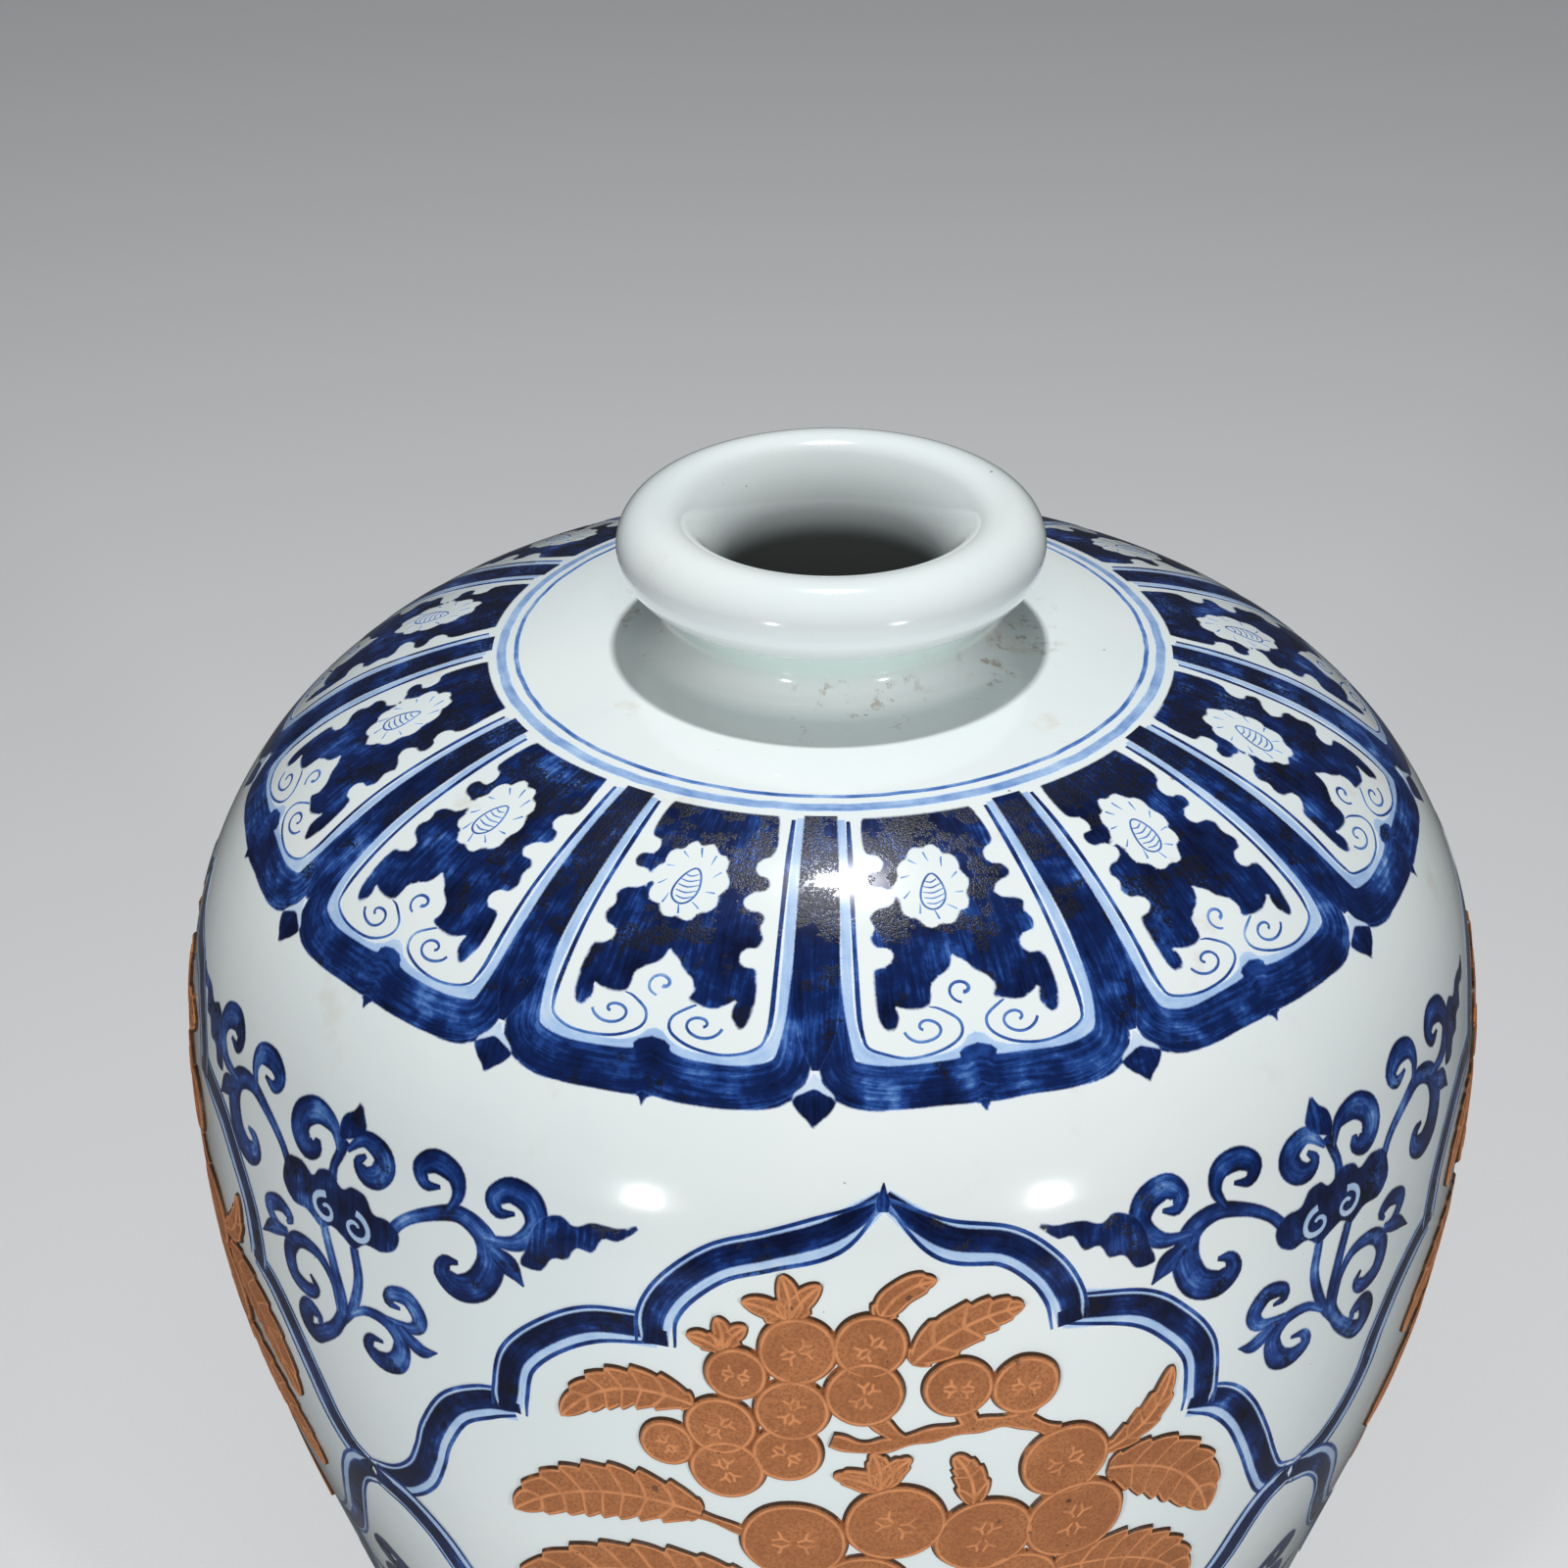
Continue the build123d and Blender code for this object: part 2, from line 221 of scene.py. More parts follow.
def outline():
    """The outer wall from the foot's edge to the neck, as rows of radius, height and heading."""
    flare, flare_rise = foot_radius - waist_radius, waist_height - foot_edge
    narrowing, body_rise = belly_radius - waist_radius, belly_height - waist_height
    taper = taper_share * atan(narrowing / body_rise)
    curves = (body_rise - narrowing / tan(taper)) / tan(taper / 2)
    flare_curve = (flare**2 + flare_rise**2) / (2 * flare)
    rows = [arc_points(foot_radius, foot_edge, -flare_curve, 2 * atan(flare / flare_rise), 0)]
    rows.append(arc_points(waist_radius, waist_height, -(1 - lower_curve_share) * curves, 0, -taper))
    belly = arc_points(belly_radius, belly_height, lower_curve_share * curves, 0, -taper)[::-1]
    share = np.linspace(0, 1, 240)[1:-1, None]
    rows += [rows[-1][-1] + (belly[0] - rows[-1][-1]) * share, belly]
    across, rise = belly_radius - shoulder_end_radius, shoulder_height - belly_height
    k, h, d, s = haunch_curve_share, haunch_turn, dome_turn, shoulder_turn
    sides = [[k * (1 - cos(h)) + cos(h) - cos(d), cos(d) - cos(s)],
             [k * sin(h) + sin(d) - sin(h), sin(s) - sin(d)]]
    dome_curve, top_curve = np.linalg.solve(sides, [across, rise])
    for radius, start, end in ((k * dome_curve, 0, h), (dome_curve, h, d), (top_curve, d, s)):
        rows.append(arc_points(rows[-1][-1][0], rows[-1][-1][1], radius, start, end))
    rows = np.concatenate(rows)
    length = np.concatenate([[0], np.cumsum(np.hypot(*np.diff(rows[:, :2], axis=0).T))])
    length += belly_mark - np.interp(belly_height, rows[:, 1], length)
    keep = np.concatenate([[True], np.diff(length) > 1e-6])
    return np.column_stack([length, rows])[keep]


wall = outline()


def mesh_piece(name, verts, faces, edges=()):
    data = bpy.data.meshes.new(name)
    data.from_pydata([tuple(v) for v in verts], edges, faces)
    data.update()
    return add(name, data)


def store(piece, name, values):
    """Keep one number a vertex, for the material to read."""
    piece.data.attributes.new(name, "FLOAT", "POINT").data.foreach_set("value", values)


def turn_outwards(sharp_angle):
    """Point the faces of the piece being edited outwards, and smooth it up to an angle."""
    bpy.ops.mesh.select_all(action="SELECT")
    bpy.ops.mesh.normals_make_consistent(inside=False)
    bpy.ops.object.mode_set(mode="OBJECT")
    bpy.ops.object.shade_smooth_by_angle(angle=radians(sharp_angle))


def on_wall(azimuth, mark, out=0.0):
    """Places on the wall: degrees round from the front, millimetres along the outline, and out from it."""
    r, z, heading = (np.interp(mark, wall[:, 0], wall[:, column]) for column in (1, 2, 3))
    r, z = r + out * np.cos(heading), z + out * np.sin(heading)
    turn = np.radians(azimuth)
    return np.stack([r * np.sin(turn), -r * np.cos(turn), z], -1) * mm


def degree_at(mark):
    """The length of one degree round the wall, in millimetres."""
    return np.radians(np.interp(mark, wall[:, 0], wall[:, 1]))


def mark_at(height):
    return np.interp(height, wall[:, 2], wall[:, 0])


def side_between(low, high, out, step):
    """The wall at an offset between two heights, as radius and height from low to high."""
    r, z = wall[:, 1] + out * np.cos(wall[:, 3]), wall[:, 2] + out * np.sin(wall[:, 3])
    inside = (z > low + 0.2) & (z < high - 0.2)
    heights = [low] + list(z[inside][::step]) + [high]
    return [(np.interp(h, z, r), h) for h in heights]


def thrown(name, corners):
    """A section turned round the axis from its closed profile of radius and height. An attribute
    marks its hollow inside, which the porcelain material paints near black as painted shade."""
    last = len(corners) - 1
    edges = [(i, i + 1) for i in range(last)] + ([(last, 0)] if corners[0][0] > 0 else [])
    piece = mesh_piece(name, [(r * mm, 0, z * mm) for r, z in corners], [], edges)
    pick(piece)
    bpy.ops.object.mode_set(mode="EDIT")
    bpy.ops.mesh.select_all(action="SELECT")
    bpy.ops.mesh.spin(steps=round_steps, angle=2 * pi, center=(0, 0, 0), axis=(0, 0, 1))
    bpy.ops.mesh.select_all(action="SELECT")
    bpy.ops.mesh.remove_doubles(threshold=0.00001)
    turn_outwards(35)
    places = np.empty(len(piece.data.vertices) * 3)
    piece.data.vertices.foreach_get("co", places)
    x, y, z = places.reshape(-1, 3).T / mm
    mid_wall = np.interp(z, wall[:, 2], wall[:, 1]) - wall_thickness / 2
    limit = np.where(z < shoulder_height - 1, mid_wall, throat_radius + 5)
    shaded_hollow = (np.hypot(x, y) < limit) & (z > floor_height - 1)
    store(piece, "shaded_hollow", shaded_hollow.astype(float))
    return piece


glaze = dict(Coat_Roughness=0.04, Coat_IOR=1.5, IOR=1.5, Specular_IOR_Level=0.15)


def porcelain_finish(name):
    finish = Finish(name)
    cloud = finish.grain(9, 3)
    place = finish.node("ShaderNodeSeparateXYZ", {}, {"Vector": finish.place})
    height = Shade(finish, place.socket.node.outputs["Z"])
    level = {0: finish.place, 1: (1, 1, 0)}
    flat = finish.node("ShaderNodeVectorMath", {"operation": "MULTIPLY"}, level)
    reach = finish.node("ShaderNodeVectorMath", {"operation": "LENGTH"}, {0: flat}, "Value")
    clay = finish.blend(cloud.between(0.35, 0.7), (0.715, 0.78, 0.78, 1), (0.785, 0.83, 0.82, 1))
    outside = reach.between(0.031, 0.034)
    pooled = height.between(0.4265, 0.433) * (1 - height.between(0.4375, 0.4405)) * outside
    clay = finish.blend(pooled * 0.55, clay, (0.55, 0.74, 0.68, 1))
    stain = finish.grain(38, 5, rough=0.65).between(0.60, 0.76) * height.between(0.34, 0.42)
    clay = finish.blend(stain * 0.5, clay, (0.55, 0.42, 0.27, 1))
    ash = finish.grain(230, 5, rough=0.65).between(0.56, 0.68) * finish.grain(30, 2).between(0.50, 0.60)
    ash = ash * height.between(0.4185, 0.4215) * (1 - height.between(0.428, 0.433))
    ash = ash * outside * (1 - reach.between(0.044, 0.056))
    clay = finish.blend(ash * 0.6, clay, (0.30, 0.20, 0.12, 1))
    speck = (finish.grain(520, 1) > 0.80) * (finish.grain(24, 2) > 0.56)
    clay = finish.blend(speck * 0.7, clay, (0.16, 0.10, 0.06, 1))
    bare = 1 - height.between(0.0012, 0.0022)
    clay = finish.blend(bare, clay, (0.50, 0.36, 0.23, 1))
    # Painted shade: the inside of the body and the lower throat are painted near black, where little light
    # reaches; the throat near the mouth keeps the glaze colour.
    shaded_hollow = finish.attribute("shaded_hollow") * (1 - height.between(0.4335, 0.4415))
    clay = finish.blend(shaded_hollow, clay, (0.12, 0.13, 0.125, 1))
    bare = (bare + shaded_hollow).between(0, 1)
    turned = {"Vector": finish.place, "Scale": 55.0, "Distortion": 1.5}
    wheel = finish.node("ShaderNodeTexWave", {"bands_direction": "Z"}, turned)
    surface = finish.grain(60, 2) * 0.7 + wheel * 0.1 + finish.grain(900, 1) * 0.02
    finish.set(Base_Color=clay, Roughness=0.16 + 0.55 * bare, Coat_Weight=1 - bare, **glaze)
    finish.set(Normal=finish.bump(surface, 0.16, 0.0006))
    return finish.material


porcelain = porcelain_finish("glazed porcelain")
ring_width, ring_slope, foot_bevel, foot_recess, floor_height = 13.0, 3.0, 1.5, 6.0, 18.0
inside_top = shoulder_height - wall_thickness * sin(shoulder_turn)
underside = [(0, foot_recess), (foot_radius - ring_width - ring_slope, foot_recess),
             (foot_radius - ring_width, 0), (foot_radius - foot_bevel, 0), (foot_radius, foot_bevel)]


def outer(low, high):
    return side_between(low, high, 0, outer_step)


def inner(low, high):
    return side_between(low, high, -wall_thickness, inner_step)[::-1]


sections = {
    "foot_section": underside + outer(foot_edge, low_seam) + inner(floor_height, low_seam)
    + [(0, floor_height)],
    "lower_body": outer(low_seam, mid_seam) + inner(low_seam, mid_seam),
    "belly_section": outer(mid_seam, belly_seam) + inner(mid_seam, belly_seam),
    "shoulder_section": outer(belly_seam, shoulder_height)
    + [(throat_radius, shoulder_height), (throat_radius, inside_top)]
    + inner(belly_seam, inside_top - 0.05),
}
for node, corners in sections.items():
    piece = thrown(f"thrown_{node}", corners)
    piece.data.materials.append(porcelain)
    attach(piece, "root")
    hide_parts(node)

# Neck and rolled mouth: thrown as one small ring in the same clay and luted on the shoulder. The
# rim is rolled out and down over the neck, and glaze has pooled in the groove under it.
roll_height, roll_radius, roll_overhang, roll_groove = shoulder_height + 22.4, 9.2, 11.1, 1.6
throat_turn = radians(45)
roll_centre = neck_radius + roll_overhang - roll_radius


def mouth_profile():
    fillet = arc_points(shoulder_end_radius, shoulder_height, -neck_fillet, shoulder_turn, 0, 0.6)
    groove_radius = neck_radius + roll_groove
    groove_drop = ((roll_radius + roll_groove) ** 2 - (roll_centre - groove_radius) ** 2) ** 0.5
    groove_height = roll_height - groove_drop
    start = atan2(groove_height - roll_height, groove_radius - roll_centre)
    groove = arc_points(neck_radius, groove_height, -roll_groove, 0, start, 0.3)
    roll = arc_points(groove[-1][0], groove[-1][1], roll_radius, start, pi - throat_turn, 0.6)
    step = roll_centre - throat_radius
    curve = (step - roll_radius * cos(throat_turn)) / (1 - cos(throat_turn))
    throat = arc_points(roll[-1][0], roll[-1][1], curve, pi - throat_turn, pi, 0.6)
    rows = [(row[0], row[1]) for part in (fillet, groove, roll[1:], throat[1:]) for row in part]
    return rows + [(throat_radius, shoulder_height)]


mouth = thrown("thrown_neck_and_mouth", mouth_profile())
mouth.data.materials.append(porcelain)
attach(mouth, "root")
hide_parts("neck_and_mouth")

# Cobalt painting, under the glaze: brush strokes and washes of ground cobalt in water. Each is a
# film laid on the wall, paler where its edge bled, with black grainy spots where it heaped up.
film, film_step, edge_width = 0.05, 0.004, 1.3


def cobalt_finish(name):
    finish = Finish(name)
    tone, rim, heap = (finish.attribute(key) for key in ("tone", "rim", "heap"))
    along = finish.node("ShaderNodeUVMap", {"uv_map": "brush"}, {})
    hairs = finish.node("ShaderNodeMapping", {}, {"Vector": along, "Scale": (0.08, 1.0, 1.0)})
    streak = finish.grain(1.1, 4, hairs, 0.6) - 0.5
    blotch = finish.grain(95, 5, rough=0.62) - 0.5
    bled = 0.50 + 0.50 * rim.between(0.05, 0.42)
    depth = (tone + tone * (streak * 1.1 + blotch * 2.2)) * bled
    stops = finish.node("ShaderNodeValToRGB", {}, {"Fac": depth})
    ramp = stops.socket.node.color_ramp
    colours = [(0.0, (0.72, 0.79, 0.82)), (0.13, (0.40, 0.56, 0.79)), (0.32, (0.085, 0.20, 0.50)),
               (0.47, (0.016, 0.060, 0.26)), (0.64, (0.005, 0.018, 0.095)), (0.95, (0.003, 0.006, 0.030))]
    for position, colour in colours[1:-1]:
        ramp.elements.new(position)
    for element, (position, colour) in zip(ramp.elements, colours):
        element.position, element.color = position, (*colour, 1)
    patch = finish.grain(120, 6, rough=0.62)
    spots = finish.grain(1900, 2, rough=0.6)
    heaped = (patch + heap * 0.17).between(0.60, 0.645) * spots.between(0.40, 0.54)
    heaped = heaped * tone.between(0.35, 0.55)
    colour = finish.blend(heaped * 0.92, stops, (0.010, 0.010, 0.012, 1))
    soft = (rim + (finish.grain(1500, 2) - 0.5) * 0.20).between(0.0, 0.42)
    finish.set(Base_Color=colour, Alpha=soft, Roughness=0.16 + 0.20 * heaped, Metallic=0.1 * heaped)
    finish.set(Coat_Weight=1 - 0.6 * heaped, **glaze)
    surface = finish.grain(60, 2) * 0.7 + spots * heaped * 0.3
    finish.set(Normal=finish.bump(surface, 0.18, 0.0006))
    return finish.material


cobalt = cobalt_finish("cobalt under glaze")


def smooth_line(points, step=0.9, closed=False):
    """A curve through given rows (azimuth, mark, ...), as close rows along it."""
    points = np.array(points, float)
    ends = np.vstack([points[-1], points, points[:2]]) if closed else \
        np.vstack([2 * points[0] - points[1], points, 2 * points[-1] - points[-2]])
    rows = []
    for a, b, c, d in zip(ends, ends[1:], ends[2:], ends[3:]):
        reach = np.hypot((c[0] - b[0]) * degree_at(b[1]), c[1] - b[1])
        for t in np.arange(0, 1, 1 / max(2, ceil(reach / step))):
            rows.append(0.5 * (2 * b + (c - a) * t + (2 * a - 5 * b + 4 * c - d) * t**2
                               + (3 * b - a - 3 * c + d) * t**3))
    return np.vstack(rows if closed else rows + [points[-1]])


def grid_faces(rows, columns):
    return [(i * columns + j, (i + 1) * columns + j, (i + 1) * columns + j + 1, i * columns + j + 1)
            for i in range(rows - 1) for j in range(columns - 1)]


def stroke(points, half, tone, heap=0.0, shift=0.0, core=0.0, lean=0.0, columns=7):
    """A brush stroke along (azimuth, mark) rows. half is its half width in millimetres. half, tone
    and shift are one value or one a row, core is tone added along its middle, and lean is tone
    added from its right edge to its left."""
    values = [np.broadcast_to(value, len(points)) for value in (half, tone, shift)]
    rows = smooth_line(np.column_stack([points] + values))
    scale = degree_at(rows[:, 1])
    run = np.column_stack([np.gradient(rows[:, 0]) * scale, np.gradient(rows[:, 1])])
    run /= np.maximum(np.hypot(*run.T), 1e-9)[:, None]
    v = np.linspace(-1, 1, columns)
    wide = np.maximum(rows[:, 2:3], 0.02)
    offset = rows[:, 4:5] + v * wide
    azimuth = rows[:, :1] - run[:, 1:] * offset / scale[:, None]
    mark = rows[:, 1:2] + run[:, :1] * offset
    steps = np.hypot(np.diff(rows[:, 0]) * scale[1:], np.diff(rows[:, 1]))
    length = np.concatenate([[0], np.cumsum(steps)])
    rim = np.minimum((1 - np.abs(v)) * wide / np.minimum(wide, edge_width), 1)
    tones = rows[:, 3:4] + core * (1 - v**2) + lean * v
    uv = np.stack(np.broadcast_arrays(length[:, None], v * wide), -1)
    return dict(azimuth=azimuth.ravel(), mark=mark.ravel(), rim=rim.ravel(), uv=uv.reshape(-1, 2),
                faces=grid_faces(len(rows), columns), tone=tones.ravel(), heap=heap)


def inside(points, ring):
    """Which flat points lie inside a closed ring."""
    odd = np.zeros(len(points), bool)
    for (x0, y0), (x1, y1) in zip(ring, np.roll(ring, -1, axis=0)):
        if y0 != y1:
            crosses = ((y0 > points[:, 1]) != (y1 > points[:, 1]))
            odd ^= crosses & (points[:, 0] < (x1 - x0) * (points[:, 1] - y0) / (y1 - y0) + x0)
    return odd


def gap_to(points, p, q):
    """How far flat points lie from the straight run between two places."""
    run = q - p
    t = np.clip(((points - p) @ run) / max(run @ run, 1e-12), 0, 1)
    return np.hypot(*(points - p - t[:, None] * run).T)


def wash(rings, tone, heap=0.0, pitch=1.6):
    """A filled area: an outer ring of (azimuth, mark) and rings that are left bare inside it. A
    place given twice is a sharp corner."""
    scale = degree_at(np.mean([mark for azimuth, mark in rings[0]]))
    flat = [smooth_line(ring, 0.8, True) * (scale, 1) for ring in rings]
    low, high = flat[0].min(0), flat[0].max(0)
    sides = np.meshgrid(np.arange(low[0], high[0], pitch), np.arange(low[1], high[1], pitch))
    grid = np.stack(sides, -1).reshape(-1, 2)
    edges, start = [], 0
    for ring in flat:
        edges += [(start + i, start + (i + 1) % len(ring)) for i in range(len(ring))]
        start += len(ring)

    def gap(points):
        nearest = np.full(len(points), 1e9)
        for ring in flat:
            for p, q in zip(ring, np.roll(ring, -1, axis=0)):
                nearest = np.minimum(nearest, gap_to(points, p, q))
        return nearest

    def wet(points):
        return np.logical_xor.reduce([inside(points, ring) for ring in flat])

    grid = grid[wet(grid)]
    grid = grid[gap(grid) > 0.5] if len(grid) else grid
    points = np.vstack(flat + [grid])
    verts, _, tris, *_ = delaunay_2d_cdt([Vector(p) for p in points], edges, [], 0, 1e-6)
    verts = np.array([tuple(v) for v in verts])
    tris = [tuple(t) for t in tris if len(t) == 3]
    centres = np.array([verts[list(t)].mean(0) for t in tris])
    tris = [t for t, keep in zip(tris, wet(centres)) if keep]
    return dict(azimuth=verts[:, 0] / scale, mark=verts[:, 1], uv=verts[:, ::-1], faces=tris, tone=tone,
                rim=np.minimum(gap(verts) / edge_width, 1), heap=heap)


def joined_faces(patches):
    """The faces of patches that become one mesh, numbered on from each to the next."""
    faces, start = [], 0
    for patch in patches:
        faces += [tuple(start + i for i in face) for face in patch["faces"]]
        start += len(patch["mark"])
    return faces


def painted(name, layers, lift=0.0):
    """One painted ornament: its washes and strokes, each a film's step above the last."""
    places = [on_wall(layer["azimuth"], layer["mark"], film + lift + step * film_step)
              for step, layer in enumerate(layers)]
    piece = mesh_piece(name, np.concatenate(places), joined_faces(layers))
    data = piece.data
    for key in ("rim", "tone", "heap"):
        values = [np.broadcast_to(layer[key], len(layer["mark"])) for layer in layers]
        store(piece, key, np.concatenate(values))
    corners = np.empty(len(data.loops), int)
    data.loops.foreach_get("vertex_index", corners)
    strokes = np.concatenate([layer["uv"] for layer in layers])[corners]
    data.uv_layers.new(name="brush").data.foreach_set("uv", strokes.ravel())
    for face in data.polygons:
        if face.normal.dot(Vector((face.center.x, face.center.y, 0.12))) < 0:
            face.flip()
    data.polygons.foreach_set("use_smooth", [True] * len(data.polygons))
    data.materials.append(cobalt)
    piece.visible_shadow = False
    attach(piece, "root")


def hand(azimuth, mark, seed, sway=0.22, drift=0.5):
    """The small waver of a hand-held brush, the same each time for one seed."""
    place = Vector((azimuth * 0.35, mark * 0.09, seed * 7.31))
    other = place + Vector((31.7, 0, 0))
    return azimuth + sway * noise.noise(place), mark + drift * noise.noise(other)


# Two rings on the shoulder, turned on the wheel with a loaded brush: a thin one inside, and a
# wide pale one that the lappets hang from.
def ring(mark, seed, half, tone, drift=0.2):
    return stroke([hand(a, mark, seed, 0, drift) for a in np.linspace(-180, 180, 121)], half, tone)


painted("shoulder_rings", [ring(463.6, 3, 1.45, 0.20, 0.3), ring(467.0, 5, 0.70, 0.31)])

# Twelve lappets round the shoulder. Neighbours share a broad dark stripe, and each holds a flower
# and three curls left white in a dark ground, within a thin line and a pale wash.
lappet_count = 12
lappet_pitch = 360 / lappet_count
lappet_start, lappet_top, lappet_seed = 0.45, 460.8, 40
heap_start, heap_reach = 405.0, 45.0
ground = [
    (-8.9, 460.6), (-8.9, 460.6), (-9.3, 455.5), (-9.1, 450.5), (-8.2, 449), (-7.3, 448.6), (-6.9, 446.8),
    (-7.3, 445.2), (-8.6, 444.7), (-9.2, 442.7), (-8.4, 440.6), (-6.9, 440.3), (-6, 438.4), (-6.6, 436.5),
    (-8.2, 435.6), (-9.2, 433.4), (-8.7, 430.9), (-9.3, 428.6), (-8.7, 426.3), (-7.5, 425.6), (-7.1, 424),
    (-7.8, 422.3), (-9, 421.5), (-9.3, 419), (-9.2, 412), (-8.7, 408.6), (-7.9, 407.2), (-7.2, 408.4),
    (-6.9, 410.6), (-7.1, 412.4), (-7.1, 412.4), (-5.6, 411.6), (-4, 412.2), (-3.5, 414.4), (-3.4, 416.7),
    (-2.5, 418.3), (-1.3, 419.9), (-0.7, 422.6), (-0.7, 422.6), (0.4, 421.2), (1.1, 419.2), (2.3, 417.3),
    (2.6, 415), (2.2, 413), (3.5, 411.9), (5.3, 411.4), (6.9, 413), (6.9, 413), (6.8, 410.4),
    (7.3, 408.4), (8, 407.2), (8.8, 409), (9.3, 413.5), (9.2, 419.4), (8.7, 421.2), (7.5, 421.4),
    (6.9, 423.1), (7.5, 425), (8.8, 425.6), (9.3, 428), (8.8, 430.7), (9.2, 433), (8.3, 434.7),
    (6.9, 435.2), (6.4, 437), (7.2, 438.8), (8.6, 439.4), (9.3, 441.3), (8.7, 443.3), (7.6, 443.9),
    (7, 445.6), (7.6, 447.6), (8.8, 448.6), (9.3, 451), (9.1, 456), (8.7, 460.8), (8.7, 460.8),
]
border = [
    (-13.8, 459.6), (-13.8, 440), (-13.7, 420), (-13.4, 407), (-12.4, 399.2), (-9, 396.3), (-4, 396.3),
    (-1.2, 396.7), (0, 397.8),
]
border_half = [1.6, 2.1, 2.7, 3.4, 4.3, 4.7, 4.8, 5.2, 6.6]
corner = [
    (-15.1, 406), (-15.1, 406), (-14.5, 397.6), (-13.4, 394), (-13.4, 394), (-11.6, 392),
    (-8.6, 391.4), (-6, 394.5), (-9, 399), (-12.4, 402),
]
pale = [
    (-11.9, 460), (-11.9, 440), (-11.9, 420), (-11.8, 409), (-10.6, 403), (-7, 400.9), (-3.5, 401),
    (-1.2, 402.4), (0, 404.2),
]
pale_half = [1.1, 1.25, 1.4, 1.6, 1.8, 1.8, 1.7, 1.9, 2.3]
frame_line = [(-10.85, 459.4), (-10.9, 448), (-10.9, 430), (-10.85, 412), (-10.6, 406.5)]
frame_half = [0.55, 0.75, 0.6, 0.7, 0.5]
curl_half = [0.5, 0.42, 0.4, 0.4, 0.42, 0.42, 0.42, 0.36, 0.15]
tick = [(-1.4, 391.9), (-0.5, 391.2), (0, 388.2), (0, 388.2), (0.5, 391.2), (1.4, 391.9), (0, 392.8)]
stripe = [(0, 460.9), (0, 440), (0, 420), (0, 408), (0, 400)]
stripe_half = [3.7, 4.6, 5.0, 4.2, 1.0]
notch = [(0, 402.5), (0, 402.5), (0.6, 398.2), (1.9, 395), (1.7, 393.2), (0, 392.6), (-1.7, 393.2),
         (-1.9, 395), (-0.6, 398.2)]
drop = [(0, 396.6), (1, 395.6), (2.1, 394), (1.5, 391.4), (0.6, 389.6), (0, 387.6), (0, 387.6),
        (-0.6, 389.6), (-1.5, 391.4), (-2.1, 394), (-1, 395.6)]
flower_place, flower_wide, flower_tall = (-1.1, 440.4), 4.2, 9.6
flower_lobes, flower_waver = 10, 0.085
curl_line = [
    (-10.6, 407), (-10.2, 404.6), (-8.6, 402.9), (-6.2, 402.2), (-3.4, 403.2), (-1.4, 405.8),
    (-1.3, 409), (-3, 411.8), (-4, 412.4),
]


def spiral(rel, mark, wide, tall, side, start, length, shrink):
    """A curl that shrinks from its first half width and half height as it turns."""
    return [(rel + wide * (1 - shrink * t) * cos(start + side * length * t),
             mark + tall * (1 - shrink * t) * sin(start + side * length * t))
            for t in np.linspace(0, 1, 22)]


